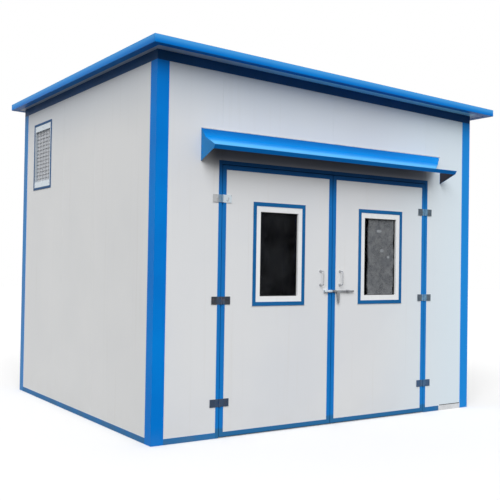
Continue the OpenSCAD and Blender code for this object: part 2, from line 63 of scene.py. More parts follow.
def newPiece():
    # the primitive that was just added
    piece = bpy.context.object
    applyPlace(piece)
    return piece


def editPiece(piece):
    pickPiece(piece)
    bpy.ops.object.mode_set(mode="EDIT")


def leaveEdit():
    bpy.ops.mesh.select_all(action="SELECT")
    bpy.ops.mesh.normals_make_consistent(inside=False)
    bpy.ops.object.mode_set(mode="OBJECT")


def selectTopFaces(piece):
    bpy.ops.mesh.select_mode(type="FACE")
    bpy.ops.mesh.select_all(action="DESELECT")
    mesh = bmesh.from_edit_mesh(piece.data)
    for face in mesh.faces:
        if face.normal.z > 0.9:
            face.select_set(True)
    bmesh.update_edit_mesh(piece.data)


def selectEdgeAt(piece, y):
    bpy.ops.mesh.select_mode(type="VERT")
    bpy.ops.mesh.select_all(action="DESELECT")
    mesh = bmesh.from_edit_mesh(piece.data)
    for vert in mesh.verts:
        if abs(vert.co.y - y) < 1e-4:
            vert.select_set(True)
    mesh.select_flush_mode()
    bmesh.update_edit_mesh(piece.data)


def applyModifier(piece, kind, **values):
    pickPiece(piece)
    modifier = piece.modifiers.new(kind.title(), kind)
    for key, value in values.items():
        setattr(modifier, key, value)
    bpy.ops.object.modifier_apply(modifier=modifier.name)


def easeEdges(piece, width, segments=1):
    applyModifier(piece, "BEVEL", width=width, segments=segments)


def smoothPiece(piece, degrees=35):
    pickPiece(piece)
    bpy.ops.object.shade_smooth_by_angle(angle=math.radians(degrees))


def finishPiece(piece, name, finish, body="cabin"):
    piece.name = name
    piece.data.name = name
    piece.data.materials.clear()
    piece.data.materials.append(finishes[finish])
    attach(piece, body)


def inRadians(turn):
    return [math.radians(angle) for angle in turn]


# turns that bring a piece drawn facing up to face each way, with its top kept up
facing = {"up": (0, 0, 0), "front": (90, 0, 0), "left": (90, 0, -90), "right": (90, 0, 90), "back": (90, 0, 180)}


def addBlock(low, high):
    deselectAll()
    middle = [(a + b) / 2 for a, b in zip(low, high)]
    size = [b - a for a, b in zip(low, high)]
    bpy.ops.mesh.primitive_cube_add(size=1, location=middle, scale=size)
    return newPiece()


def addRod(radius, length, middle):
    # a round rod along X
    deselectAll()
    bpy.ops.mesh.primitive_cylinder_add(vertices=16, radius=radius, depth=length, location=middle,
                                        rotation=(0, math.radians(90), 0))
    return newPiece()


def addRing(width, height, band, depth, side, place):
    # flat ring with mitred corners, drawn from a plane by inset and extrude
    deselectAll()
    bpy.ops.mesh.primitive_plane_add(size=1)
    ring = bpy.context.object
    ring.scale = (width, height, 1)
    applyPlace(ring)
    editPiece(ring)
    bpy.ops.mesh.select_all(action="SELECT")
    bpy.ops.mesh.inset(thickness=band, depth=0)
    bpy.ops.mesh.delete(type="FACE")
    bpy.ops.mesh.select_all(action="SELECT")
    bpy.ops.mesh.extrude_region_move(TRANSFORM_OT_translate={"value": (0, 0, depth)})
    leaveEdit()
    ring.rotation_euler = inRadians(facing[side])
    ring.location = place
    applyPlace(ring)
    return ring


def joinPieces(pieces):
    deselectAll()
    for piece in pieces:
        piece.select_set(True)
    bpy.context.view_layer.objects.active = pieces[0]
    bpy.ops.object.join()
    return bpy.context.object


def spread(start, end, count):
    return [start + (end - start) * i / (count - 1) for i in range(count)]


# the cabin's main planes, read from the frame

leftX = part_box("left_wall")[0].x
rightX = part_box("right_wall")[1].x
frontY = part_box("front_wall_left")[0].y
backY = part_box("back_wall")[1].y
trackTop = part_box("base_track_back")[1].z
postLow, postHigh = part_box("corner_posts")
roofLow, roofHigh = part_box("roof_panels")
jambLow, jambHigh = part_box("door_jambs")
headLow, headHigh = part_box("door_head")
hoodLow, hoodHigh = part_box("hood_sheet")
ventLow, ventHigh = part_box("vent_frame")
roofThick = 0.050
headTall = 0.066  # head track
knuckleRadius = 0.006
pinX = {"left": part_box("left_hinge_plates")[1].x - knuckleRadius,
        "right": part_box("right_hinge_plates")[0].x + knuckleRadius}
roofSlope = (roofHigh.z - roofThick - roofLow.z) / (roofHigh.x - roofLow.x)


def roofUnder(x):
    return roofLow.z + (roofHigh.x - x) * roofSlope


# shader nodes

def addNode(tree, kind, **values):
    node = tree.nodes.new(kind)
    for key, value in values.items():
        setattr(node, key, value)
    return node


def feed(tree, socket, value):
    # a number or a colour is set on the socket, and an output is linked to it
    if isinstance(value, (int, float)):
        socket.default_value = value
    elif isinstance(value, tuple):
        socket.default_value = (*value, 1)
    else:
        tree.links.new(value, socket)


def addMath(tree, operation, *values, clamp=False):
    node = addNode(tree, "ShaderNodeMath", operation=operation, use_clamp=clamp)
    for socket, value in zip(node.inputs, values):
        feed(tree, socket, value)
    return node.outputs[0]


def addRamp(tree, source, low, high, lowValue=0.0, highValue=1.0):
    node = addNode(tree, "ShaderNodeMapRange", interpolation_type="SMOOTHSTEP")
    labels = ("Value", "From Min", "From Max", "To Min", "To Max")
    for label, value in zip(labels, (source, low, high, lowValue, highValue)):
        feed(tree, node.inputs[label], value)
    return node.outputs["Result"]


def addNoise(tree, place, scale, detail=3.0, roughness=0.5, stretch=None):
    if stretch:
        mapping = addNode(tree, "ShaderNodeMapping")
        feed(tree, mapping.inputs["Vector"], place)
        mapping.inputs["Scale"].default_value = stretch
        place = mapping.outputs["Vector"]
    node = addNode(tree, "ShaderNodeTexNoise")
    for label, value in (("Vector", place), ("Scale", scale), ("Detail", detail), ("Roughness", roughness)):
        feed(tree, node.inputs[label], value)
    return node.outputs["Fac"]


def mixColour(tree, factor, first, second):
    node = addNode(tree, "ShaderNodeMix", data_type="RGBA")
    for index, value in ((0, factor), (6, first), (7, second)):
        feed(tree, node.inputs[index], value)
    return node.outputs[2]


def splitPlace(tree, place):
    node = addNode(tree, "ShaderNodeSeparateXYZ")
    feed(tree, node.inputs[0], place)
    return node.outputs


# surface effects that several finishes share

def newGroup(name, inputs, outputs):
    # each takes a place and some numbers, and gives out masks or heights
    group = bpy.data.node_groups.new(name, "ShaderNodeTree")
    group.interface.new_socket(name="Vector", in_out="INPUT", socket_type="NodeSocketVector")
    for label, value in inputs.items():
        socket = group.interface.new_socket(name=label, in_out="INPUT", socket_type="NodeSocketFloat")
        socket.default_value = value
    for label in outputs:
        group.interface.new_socket(name=label, in_out="OUTPUT", socket_type="NodeSocketFloat")
    given = group.nodes.new("NodeGroupInput").outputs
    result = group.nodes.new("NodeGroupOutput").inputs
    return group, given["Vector"], given, result


def makeWeatherGroup():
    # dust near the ground, which on the base tracks carries painted shade as well, runs of dirty water and a slow
    # mottle
    group, place, given, result = newGroup("weather", {"Dust Height": 0.4, "Mottle Scale": 3.0},
                                           ("Dust", "Runs", "Mottle"))
    low = addRamp(group, splitPlace(group, place)["Z"], 0.0, given["Dust Height"], 1.0, 0.0)
    patches = addRamp(group, addNoise(group, place, 7.0, 4.0), 0.3, 0.7)
    feed(group, result["Dust"], addMath(group, "MULTIPLY", low, patches, clamp=True))
    streaks = addNoise(group, place, 1.0, 4.0, 0.6, stretch=(26.0, 26.0, 0.7))
    feed(group, result["Runs"], addRamp(group, streaks, 0.56, 0.78))
    feed(group, result["Mottle"], addNoise(group, place, given["Mottle Scale"]))
    return group


def makeSheetGroup():
    # height of rolled sheet: slow waves of the skin and the fine peel of its coat
    group, place, given, result = newGroup("rolledSheet", {"Wave": 0.6, "Peel": 0.2}, ("Height",))
    slow = addNoise(group, place, 1.0, 1.0, 0.4, stretch=(2.2, 2.2, 0.9))
    slow = addMath(group, "MULTIPLY", slow, given["Wave"])
    fine = addMath(group, "MULTIPLY", addNoise(group, place, 420.0, 2.0), given["Peel"])
    feed(group, result["Height"], addMath(group, "ADD", slow, fine))
    return group


def makeScuffGroup():
    # short scratches where hands and tools rub
    group, place, given, result = newGroup("scuffs", {"Amount": 0.5}, ("Mask",))
    lines = addNoise(group, place, 1.0, 5.0, 0.65, stretch=(160.0, 160.0, 18.0))
    where = addNoise(group, place, 5.0, 2.0)
    both = addMath(group, "MULTIPLY", addRamp(group, lines, 0.66, 0.74), addRamp(group, where, 0.52, 0.66))
    feed(group, result["Mask"], addMath(group, "MULTIPLY", both, given["Amount"], clamp=True))
    return group


weatherGroup = makeWeatherGroup()
sheetGroup = makeSheetGroup()
scuffGroup = makeScuffGroup()


# finishes

def startMaterial(name, preview):
    material = bpy.data.materials.new(name)
    material.use_nodes = True
    material.diffuse_color = (*preview, 1)
    tree = material.node_tree
    place = addNode(tree, "ShaderNodeTexCoord").outputs["Object"]
    return material, tree, tree.nodes["Principled BSDF"].inputs, place


def useGroup(tree, group, place, values):
    node = addNode(tree, "ShaderNodeGroup", node_tree=group)
    feed(tree, node.inputs["Vector"], place)
    for label, value in values.items():
        feed(tree, node.inputs[label], value)
    return node.outputs


def addBump(tree, surface, height, distance):
    bump = addNode(tree, "ShaderNodeBump")
    feed(tree, bump.inputs["Height"], height)
    feed(tree, bump.inputs["Distance"], distance)
    feed(tree, bump.inputs["Strength"], 1.0)
    feed(tree, surface["Normal"], bump.outputs["Normal"])


# bands of painted shade, painted light and tone: each ramp runs from none to full along an axis, or along the distance
# from the underside of the roof

def makeBand(amount, colour, *ramps):
    return {"amount": amount, "colour": colour, "ramps": ramps}


def belowHood(start, end):
    # a ramp between two drops from the top of the hood
    return "Z", hoodHigh.z - start, hoodHigh.z - end


eaves = ("roof", -0.55, -0.05)
soffit = ("roof", 0.030, 0.020)
# painted shade under the eaves: the walls turn bluish grey towards the underside of the roof
sideEavesShade = makeBand(0.36, (0.36, 0.44, 0.54), eaves)
eavesShade = makeBand(0.50, (0.36, 0.44, 0.54), eaves, ("X", 3.0, -0.4))
coolerRight = makeBand(0.80, (0.73, 0.86, 0.95), ("X", 0.2, 1.6))
hoodShade = makeBand(0.88, (0.066, 0.080, 0.125), belowHood(0.30, 0.17), belowHood(0.005, 0.02),
                     ("X", hoodLow.x + 0.02, hoodLow.x + 0.14), ("X", hoodHigh.x - 0.05, hoodHigh.x - 0.22))
doorShade = makeBand(0.65, (0.004, 0.030, 0.110), belowHood(0.48, 0.22))
# painted highlight: the roof trims lighter towards their top
trimTopHighlight = makeBand(0.90, (0.080, 0.400, 0.860), ("roof", 0.006, 0.048), ("roof", 0.0512, 0.0497))
# painted shade: the roof trims darker at their foot and on the flange under them
trimFootShade = makeBand(0.75, (0.004, 0.070, 0.240), ("roof", 0.012, -0.016))
# painted highlight: the hood sheet lighter along its front fold
foldHighlight = makeBand(0.80, (0.110, 0.480, 0.860), belowHood(0.080, 0.114))
lipShade = makeBand(1.00, (0.002, 0.195, 0.660), belowHood(0.133, 0.136))
# painted shade: the hood sheet darker at its top edge against the wall, less so towards its right end
wallEdgeShade = makeBand(0.95, (0.001, 0.125, 0.430), belowHood(0.092, 0.008),
                    ("X", hoodHigh.x + 0.3, hoodHigh.x - 0.9))
# painted shade: the underside of the roof panels darker
soffitShade = makeBand(0.95, (0.29, 0.36, 0.46), soffit)
# painted blue light: the underside of the roof panels bright blue towards the right
soffitBlueLight = makeBand(0.90, (0.22, 0.64, 0.95), soffit, ("X", -1.3, -0.1))
blueEdge = makeBand(0.95, (0.006, 0.130, 0.420), soffit, ("X", rightX + 0.001, rightX + 0.003))
dullFoot = makeBand(0.90, (0.030, 0.150, 0.330), ("Z", 0.080, 0.055))
# painted light: the door's blue lighter lower down, below the hood's shade
lowerDoorLight = makeBand(0.55, (0.008, 0.205, 0.620), ("Z", 0.95, 0.30))
# painted sky light: the blue lighter towards the right
skyLitRight = makeBand(0.60, (0.025, 0.300, 0.780), ("X", 0.6, 1.5))
dullBack = makeBand(0.50, (0.10, 0.26, 0.40), ("Y", backY - 0.12, backY - 0.06), ("X", 0.0, -1.0))
# painted shade: the vent frame greyer on its far side, away from its top and bottom
ventFarSideShade = makeBand(0.80, (0.34, 0.38, 0.42), ("Y", ventHigh.y - 0.060, ventHigh.y - 0.050),
                       ("Z", ventHigh.z - 0.040, ventHigh.z - 0.060), ("Z", ventLow.z + 0.040, ventLow.z + 0.060))
# painted shade: the grille's level bars, which lie behind the uprights, darker than them
levelBarsShade = makeBand(1.00, (0.40, 0.42, 0.45), ("X", leftX + 0.0108, leftX + 0.0112))


def bandMask(tree, place, band):
    axes = splitPlace(tree, place)
    mask = band["amount"]
    for along, start, end in band["ramps"]:
        if along == "roof":
            tilted = addMath(tree, "MULTIPLY_ADD", axes["X"], roofSlope, axes["Z"])
            way = addMath(tree, "SUBTRACT", tilted, roofLow.z + roofHigh.x * roofSlope)
        else:
            way = axes[along]
        mask = addMath(tree, "MULTIPLY", addRamp(tree, way, start, end), mask)
    return mask


def makeCoat(name, look):
    # coil coat or paint on sheet: the colour drifts, dust gathers low (on the base tracks partly painted shade), rain
    # leaves runs, and bands add painted shade, painted light and tone
    material, tree, surface, place = startMaterial(name, look["colour"])
    feed(tree, surface["Specular IOR Level"], look["gloss"])
    weather = useGroup(tree, weatherGroup, place,
                       {"Dust Height": look["dustHeight"], "Mottle Scale": look["mottleScale"]})
    scuffs = useGroup(tree, scuffGroup, place, {"Amount": look["scuffs"]})
    colour = mixColour(tree, addRamp(tree, weather["Mottle"], 0.3, 0.7), look["colour"], look["drift"])
    colour = mixColour(tree, addMath(tree, "MULTIPLY", weather["Runs"], look["runs"]), colour, look["runColour"])
    dust = addMath(tree, "MULTIPLY", weather["Dust"], look["dust"])
    colour = mixColour(tree, dust, colour, look["dustColour"])
    # bands of painted shade, painted light and tone
    for band in look["bands"]:
        colour = mixColour(tree, bandMask(tree, place, band), colour, band["colour"])
    colour = mixColour(tree, scuffs["Mask"], colour, look["scuffColour"])
    feed(tree, surface["Base Color"], colour)
    rough = addMath(tree, "MULTIPLY_ADD", weather["Mottle"], look["roughSpread"],
                    look["rough"] - look["roughSpread"] / 2)
    rough = addMath(tree, "ADD", rough, addMath(tree, "MULTIPLY", dust, 0.4), clamp=True)
    feed(tree, surface["Roughness"], rough)
    sheet = useGroup(tree, sheetGroup, place, {"Wave": look["wave"], "Peel": look["peel"]})
    addBump(tree, surface, sheet["Height"], look["relief"])
    return material


blueLook = {"colour": (0.001, 0.185, 0.645), "drift": (0.001, 0.220, 0.715), "mottleScale": 2.3, "gloss": 0.05,
            "rough": 0.40, "roughSpread": 0.14, "dustHeight": 0.14, "dust": 0.08, "dustColour": (0.20, 0.24, 0.28),
            "runs": 0.14, "runColour": (0.004, 0.13, 0.40), "scuffs": 0.30, "scuffColour": (0.14, 0.36, 0.64),
            "wave": 0.25, "peel": 0.02, "relief": 0.004, "bands": [skyLitRight, dullBack]}
roofTrimLook = {**blueLook, "bands": [trimTopHighlight, trimFootShade]}
hoodLook = {**blueLook, "colour": (0.001, 0.230, 0.700), "drift": (0.001, 0.260, 0.760),
            "bands": [foldHighlight, lipShade, wallEdgeShade]}
hoodEndLook = {**blueLook, "colour": (0.022, 0.190, 0.460), "drift": (0.030, 0.212, 0.505), "bands": []}
doorBlueLook = {**blueLook, "colour": (0.009, 0.155, 0.475), "drift": (0.012, 0.180, 0.535),
                "bands": [lowerDoorLight, skyLitRight, doorShade, dullFoot]}
trimBlueLook = {**blueLook, "colour": (0.010, 0.118, 0.320), "drift": (0.014, 0.135, 0.370), "bands": []}
ventTrimLook = {**trimBlueLook, "colour": (0.014, 0.080, 0.210), "drift": (0.020, 0.095, 0.240)}
# heavy dark bluish dust on the base tracks: dust, and painted shade near the ground
trackBlueLook = {**trimBlueLook, "colour": (0.020, 0.160, 0.405), "drift": (0.028, 0.180, 0.445), "dust": 0.45,
                 "dustColour": (0.11, 0.18, 0.25)}
# a darker copy of the blue: painted shade for the head tracks and their rivets under the roof's overhang
shadedHeadBlueLook = {**trimBlueLook, "colour": (0.011, 0.060, 0.165), "drift": (0.015, 0.072, 0.205),
                "runColour": (0.004, 0.03, 0.10), "scuffColour": (0.02, 0.10, 0.25)}
whiteLook = {"colour": (0.752, 0.762, 0.768), "drift": (0.785, 0.792, 0.795), "mottleScale": 1.3, "gloss": 0.35,
             "rough": 0.48, "roughSpread": 0.12, "dustHeight": 0.30, "dust": 0.10, "dustColour": (0.56, 0.54, 0.51),
             "runs": 0.25, "runColour": (0.66, 0.65, 0.63), "scuffs": 0.18, "scuffColour": (0.55, 0.56, 0.57),
             "wave": 0.50, "peel": 0.02, "relief": 0.006, "bands": [sideEavesShade]}
frontLook = {**whiteLook, "colour": (0.715, 0.735, 0.768), "drift": (0.755, 0.768, 0.785),
             "bands": [eavesShade, coolerRight, hoodShade]}
leafLook = {**frontLook, "bands": [coolerRight]}
# the white panel coat made grey: painted shade for the underside of the roof
roofLook = {**whiteLook, "colour": (0.47, 0.48, 0.49), "drift": (0.54, 0.55, 0.56), "mottleScale": 2.0,
            "runs": 0.2, "runColour": (0.42, 0.42, 0.42), "bands": [soffitShade, soffitBlueLight, blueEdge]}
windowLook = {"colour": (0.83, 0.85, 0.87), "drift": (0.86, 0.87, 0.88), "mottleScale": 4.0, "gloss": 0.5,
              "rough": 0.28, "roughSpread": 0.08, "dustHeight": 0.2, "dust": 0.1, "dustColour": (0.60, 0.58, 0.55),
              "runs": 0.12, "runColour": (0.66, 0.66, 0.65), "scuffs": 0.15, "scuffColour": (0.62, 0.63, 0.64),
              "wave": 0.05, "peel": 0.01, "relief": 0.002, "bands": []}
ventFrameLook = {**windowLook, "colour": (0.70, 0.80, 0.87), "drift": (0.74, 0.82, 0.88), "bands": [ventFarSideShade]}
grilleLook = {**windowLook, "colour": (0.58, 0.60, 0.62), "drift": (0.62, 0.64, 0.66), "gloss": 0.3,
              "bands": [levelBarsShade]}
# grey back coat of the sheet made near black: painted shade under the hood and inside its end plates
shadedBackCoatLook = {"colour": (0.034, 0.034, 0.046), "drift": (0.050, 0.048, 0.060), "mottleScale": 3.0, "gloss": 0.1,
                "rough": 0.6, "roughSpread": 0.1, "dustHeight": 0.2, "dust": 0.0, "dustColour": (0.2, 0.2, 0.2),
                "runs": 0.15, "runColour": (0.06, 0.06, 0.06), "scuffs": 0.2, "scuffColour": (0.16, 0.16, 0.18),
                "wave": 0.2, "peel": 0.02, "relief": 0.003, "bands": []}


def makeZinc(name, look):
    # hot-dip zinc: spangle flakes, dull patches and some handling marks
    material, tree, surface, place = startMaterial(name, look["colour"])
    flakes = addNode(tree, "ShaderNodeTexVoronoi")
    feed(tree, flakes.inputs["Vector"], place)
    feed(tree, flakes.inputs["Scale"], look["flakeScale"])
    tone = addRamp(tree, flakes.outputs["Color"], 0.1, 0.9)
    dull = addRamp(tree, addNoise(tree, place, look["dullScale"], 4.0), 0.35, 0.7)
    colour = mixColour(tree, tone, look["colour"], look["flake"])
    colour = mixColour(tree, addMath(tree, "MULTIPLY", dull, look["dull"]), colour, look["dullColour"])
    scuffs = useGroup(tree, scuffGroup, place, {"Amount": look["scuffs"]})
    feed(tree, surface["Base Color"], mixColour(tree, scuffs["Mask"], colour, look["flake"]))
    feed(tree, surface["Roughness"], addRamp(tree, dull, 0.0, 1.0, look["rough"], look["roughDull"]))
    feed(tree, surface["Metallic"], addRamp(tree, dull, 0.0, 1.0, look["metal"], look["metal"] - 0.35))
    addBump(tree, surface, addNoise(tree, place, 300.0), look["relief"])
    return material


zincLook = {"colour": (0.44, 0.46, 0.49), "flake": (0.52, 0.54, 0.57), "flakeScale": 90.0, "dullScale": 25.0,
            "dull": 0.6, "dullColour": (0.36, 0.37, 0.39), "scuffs": 0.5, "rough": 0.36, "roughDull": 0.6,
            "metal": 0.75, "relief": 0.0004}
handleLook = {"colour": (0.40, 0.41, 0.43), "flake": (0.48, 0.49, 0.51), "flakeScale": 140.0, "dullScale": 40.0,
              "dull": 0.5, "dullColour": (0.33, 0.34, 0.35), "scuffs": 0.4, "rough": 0.45, "roughDull": 0.65,
              "metal": 0.55, "relief": 0.0003}
boltLook = {**handleLook, "colour": (0.22, 0.23, 0.25), "flake": (0.29, 0.30, 0.32), "dullColour": (0.17, 0.17, 0.18)}
# pale blue-grey steel: the keeper's own steel with a painted highlight of the sky on it
highlitKeeperLook = {**handleLook, "colour": (0.58, 0.66, 0.72), "flake": (0.66, 0.72, 0.77),
              "dullColour": (0.48, 0.54, 0.60), "metal": 0.40}
bareLook = {**zincLook, "colour": (0.66, 0.68, 0.70), "flake": (0.74, 0.75, 0.77), "dull": 0.3,
            "dullColour": (0.55, 0.56, 0.58), "rough": 0.5, "roughDull": 0.7, "metal": 0.40}
meshLook = {**zincLook, "colour": (0.48, 0.50, 0.54), "flake": (0.55, 0.57, 0.60), "dull": 0.3,
            "dullColour": (0.42, 0.44, 0.48), "rough": 0.6, "roughDull": 0.7, "metal": 0.36}


def makeHingeSteel(name, look):
    # blackened plates, and knuckles rubbed down to steel with a little rust: the top hinge may be light and
    # half painted over, and the lowest one darker
    material, tree, surface, place = startMaterial(name, look["plate"])
    axes = splitPlace(tree, place)
    aside = addMath(tree, "ABSOLUTE", addMath(tree, "SUBTRACT", axes["X"], look["pinX"]))
    aside = addMath(tree, "ADD", aside, addMath(tree, "MULTIPLY", addNoise(tree, place, 90.0), look["ragged"]))
    rubbed = addRamp(tree, aside, look["rubbedTo"], look["rubbedTo"] + look["rubbedFade"], 1.0, 0.0)
    tone = addRamp(tree, addNoise(tree, place, 60.0), 0.3, 0.7)
    top = addRamp(tree, axes["Z"], *look["topFrom"], 0.0, look["lightTop"])
    low = addRamp(tree, axes["Z"], *look["lowFrom"], 0.0, look["darkLow"])
    leafSide = addRamp(tree, axes["X"], look["pinX"] - 0.001, look["pinX"] + 0.001)
    plate = mixColour(tree, tone, look["plate"], look["plateDrift"])
    plate = mixColour(tree, top, plate, mixColour(tree, leafSide, look["cleanPlate"], look["cleanLeaf"]))
    barrel = mixColour(tree, tone, look["steel"], look["steelDrift"])
    barrel = mixColour(tree, top, barrel, mixColour(tree, leafSide, look["paintedOver"], look["cleanLeaf"]))
    colour = mixColour(tree, low, mixColour(tree, rubbed, plate, barrel), look["lowColour"])
    rust = addRamp(tree, addNoise(tree, place, 45.0, 4.0), 0.56, 0.66, 0.0, look["rust"])
    feed(tree, surface["Base Color"], mixColour(tree, rust, colour, look["rustColour"]))
    feed(tree, surface["Roughness"], addRamp(tree, tone, 0.0, 1.0, 0.42, 0.62))
    feed(tree, surface["Specular IOR Level"], 0.3)
    addBump(tree, surface, addNoise(tree, place, 300.0), 0.0004)
    return material


leftHingeLook = {"pinX": pinX["left"], "plate": (0.018, 0.022, 0.030), "plateDrift": (0.034, 0.042, 0.058),
                 "steel": (0.050, 0.078, 0.125), "steelDrift": (0.030, 0.045, 0.078), "rust": 0.35,
                 "rustColour": (0.13, 0.085, 0.07), "rubbedTo": 0.034, "rubbedFade": 0.016, "ragged": 0.02,
                 "topFrom": (1.30, 1.35), "lightTop": 1.0, "cleanPlate": (0.50, 0.51, 0.52),
                 "cleanLeaf": (0.66, 0.74, 0.80), "paintedOver": (0.20, 0.31, 0.42),
                 "lowFrom": (0.60, 0.55), "darkLow": 0.45, "lowColour": (0.030, 0.070, 0.145)}
rightHingeLook = {**leftHingeLook, "pinX": pinX["right"], "plate": (0.066, 0.092, 0.118),
                  "plateDrift": (0.100, 0.135, 0.168), "steel": (0.165, 0.330, 0.500),
                  "steelDrift": (0.115, 0.245, 0.385), "rust": 0.1, "rubbedTo": 0.030, "lightTop": 0.0,
                  "darkLow": 0.80, "lowColour": (0.030, 0.082, 0.185)}


def makeGlass(name, look):
    material, tree, surface, place = startMaterial(name, look["colour"])
    smears = addNoise(tree, place, look["smearScale"], 4.0, 0.6, stretch=(1.0, 1.0, 0.45))
    smears = addRamp(tree, smears, 0.42, 0.72)
    feed(tree, surface["Base Color"], mixColour(tree, smears, look["colour"], look["smearColour"]))
    feed(tree, surface["Roughness"], addRamp(tree, smears, 0.0, 1.0, look["rough"], look["roughSmear"]))
    feed(tree, surface["Transmission Weight"], 1.0)
    feed(tree, surface["IOR"], look["bend"])
    return material


# the pane's tint is near black: painted shade for the dark room behind the glass, with lighter smears
shadedGlassLook = {"colour": (0.05, 0.06, 0.12), "smearColour": (0.12, 0.13, 0.20), "smearScale": 6.0,
             "rough": 0.015, "roughSmear": 0.05, "bend": 1.09}


def fromMiddle(tree, way, middle, half):
    # square of the distance from the middle of a painted glint, in halves of its size
    share = addMath(tree, "DIVIDE", addMath(tree, "SUBTRACT", way, middle), half)
    return addMath(tree, "POWER", addMath(tree, "ABSOLUTE", share), 2)


def makeReflectionFilm(name, look):
    # painted reflection on a pane, drawn as a thin film: grey clouds and specks, kept off strips along both sides
    # where the dark glass shows as a darker painted reflection, and pale painted glints
    material, tree, surface, place = startMaterial(name, look["colour"])
    low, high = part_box(look["pane"])
    clouds = addRamp(tree, addNoise(tree, place, look["cloudScale"], 5.0, 0.65), 0.3, 0.7, look["least"], look["most"])
    speckle = addRamp(tree, addNoise(tree, place, 110.0, 4.0, 0.7), 0.35, 0.65, look["fine"], 1.0)
    cover = addMath(tree, "MULTIPLY", clouds, speckle, clamp=True)
    axes = splitPlace(tree, place)
    wobble = addMath(tree, "MULTIPLY", addNoise(tree, place, 9.0), look["wobble"])
    across = addMath(tree, "ADD", axes["X"], wobble)
    # the film is kept off a strip along each side, where the dark glass shows as a painted dark reflection
    stripTo = low.x + look["darkStrip"]
    awayFromStrips = addRamp(tree, across, stripTo, stripTo + look["stripFade"])
    farSide = addRamp(tree, across, high.x - look["farStrip"][0], high.x - look["farStrip"][1])
    awayFromStrips = addMath(tree, "MULTIPLY", awayFromStrips, farSide)
    feed(tree, surface["Alpha"], addMath(tree, "MULTIPLY", cover, awayFromStrips, clamp=True))
    tone = addRamp(tree, addNoise(tree, place, 22.0, 4.0, 0.7), 0.3, 0.72)
    colour = mixColour(tree, tone, look["colour"], look["second"])
    # painted glints: pale spots on the film
    for right, down, wide, tall in look["glints"]:
        aside = fromMiddle(tree, across, low.x + right * (high.x - low.x) + look["wobble"] / 2, wide)
        below = fromMiddle(tree, axes["Z"], high.z - down * (high.z - low.z), tall)
        drop = addRamp(tree, addMath(tree, "ADD", aside, below), 1.3, 0.2, 0.0, 0.7)
        colour = mixColour(tree, drop, colour, look["glintColour"])
    feed(tree, surface["Base Color"], colour)
    feed(tree, surface["Roughness"], 0.9)
    feed(tree, surface["Specular IOR Level"], 0.2)
    return material


# painted glints are given by their place across and down the pane, and by half their width and height
reflectionLook = {"pane": "right_window_glass", "colour": (0.135, 0.145, 0.160), "second": (0.235, 0.245, 0.255),
            "cloudScale": 7.0, "least": 0.70, "most": 1.0, "fine": 0.75, "wobble": 0.03, "darkStrip": 0.066,
            "stripFade": 0.022, "farStrip": (0.002, 0.014), "glintColour": (0.46, 0.49, 0.52),
            "glints": [(0.50, 0.17, 0.028, 0.013), (0.60, 0.42, 0.024, 0.016), (0.78, 0.50, 0.016, 0.012)]}
thinReflectionLook = {**reflectionLook, "pane": "left_window_glass", "colour": (0.10, 0.11, 0.13), "second": (0.18, 0.19, 0.21),
                "cloudScale": 4.0, "least": 0.0, "most": 0.09, "fine": 0.3, "darkStrip": -0.05, "glints": []}


def makeDeck(name, look):
    # plywood sheets: long grain, darker knots, joints between the sheets and trodden dust
    material, tree, surface, place = startMaterial(name, look["colour"])
    grain = addNoise(tree, place, 1.0, 6.0, 0.6, stretch=(3.0, 70.0, 10.0))
    colour = mixColour(tree, addRamp(tree, grain, 0.3, 0.7), look["colour"], look["darkGrain"])
    trodden = addRamp(tree, addNoise(tree, place, 2.2, 4.0), 0.35, 0.7)
    colour = mixColour(tree, addMath(tree, "MULTIPLY", trodden, look["dust"]), colour, look["dustColour"])
    axes = splitPlace(tree, place)
    joints = []
    for label in ("X", "Y"):
        cell = addMath(tree, "MODULO", addMath(tree, "ADD", axes[label], look["sheet"] * 4), look["sheet"])
        joints.append(addMath(tree, "LESS_THAN", cell, look["joint"]))
    joint = addMath(tree, "MAXIMUM", *joints)
    feed(tree, surface["Base Color"], mixColour(tree, joint, colour, look["jointColour"]))
    feed(tree, surface["Roughness"], addRamp(tree, grain, 0.2, 0.8, 0.6, 0.8))
    height = addMath(tree, "SUBTRACT", addMath(tree, "MULTIPLY", grain, 0.3), joint)
    addBump(tree, surface, height, look["relief"])
    return material


deckLook = {"colour": (0.40, 0.29, 0.18), "darkGrain": (0.30, 0.20, 0.12), "dust": 0.4,
            "dustColour": (0.42, 0.38, 0.33), "sheet": 1.22, "joint": 0.003, "jointColour": (0.05, 0.04, 0.03),
            "relief": 0.0015}


def makeSoft(name, look):
    # rubber and sealant, and the black of a painted shade line: matt, with a little bloom on it
    material, tree, surface, place = startMaterial(name, look["colour"])
    bloom = addRamp(tree, addNoise(tree, place, look["scale"], 4.0), 0.35, 0.7)
    feed(tree, surface["Base Color"], mixColour(tree, bloom, look["colour"], look["bloom"]))
    feed(tree, surface["Roughness"], addRamp(tree, bloom, 0.0, 1.0, look["rough"], look["rough"] + 0.15))
    addBump(tree, surface, addNoise(tree, place, 260.0, 2.0), look["relief"])
    return material


# black rubber, also used for a line of painted shade at the foot of the wall
rubberAndShadeLook = {"colour": (0.012, 0.012, 0.013), "bloom": (0.035, 0.035, 0.036), "scale": 30.0, "rough": 0.6,
              "relief": 0.0003}
sealantLook = {"colour": (0.62, 0.63, 0.64), "bloom": (0.50, 0.50, 0.49), "scale": 18.0, "rough": 0.45,
               "relief": 0.0005}
whiteSealantLook = {**sealantLook, "colour": (0.74, 0.75, 0.76), "bloom": (0.64, 0.64, 0.63)}

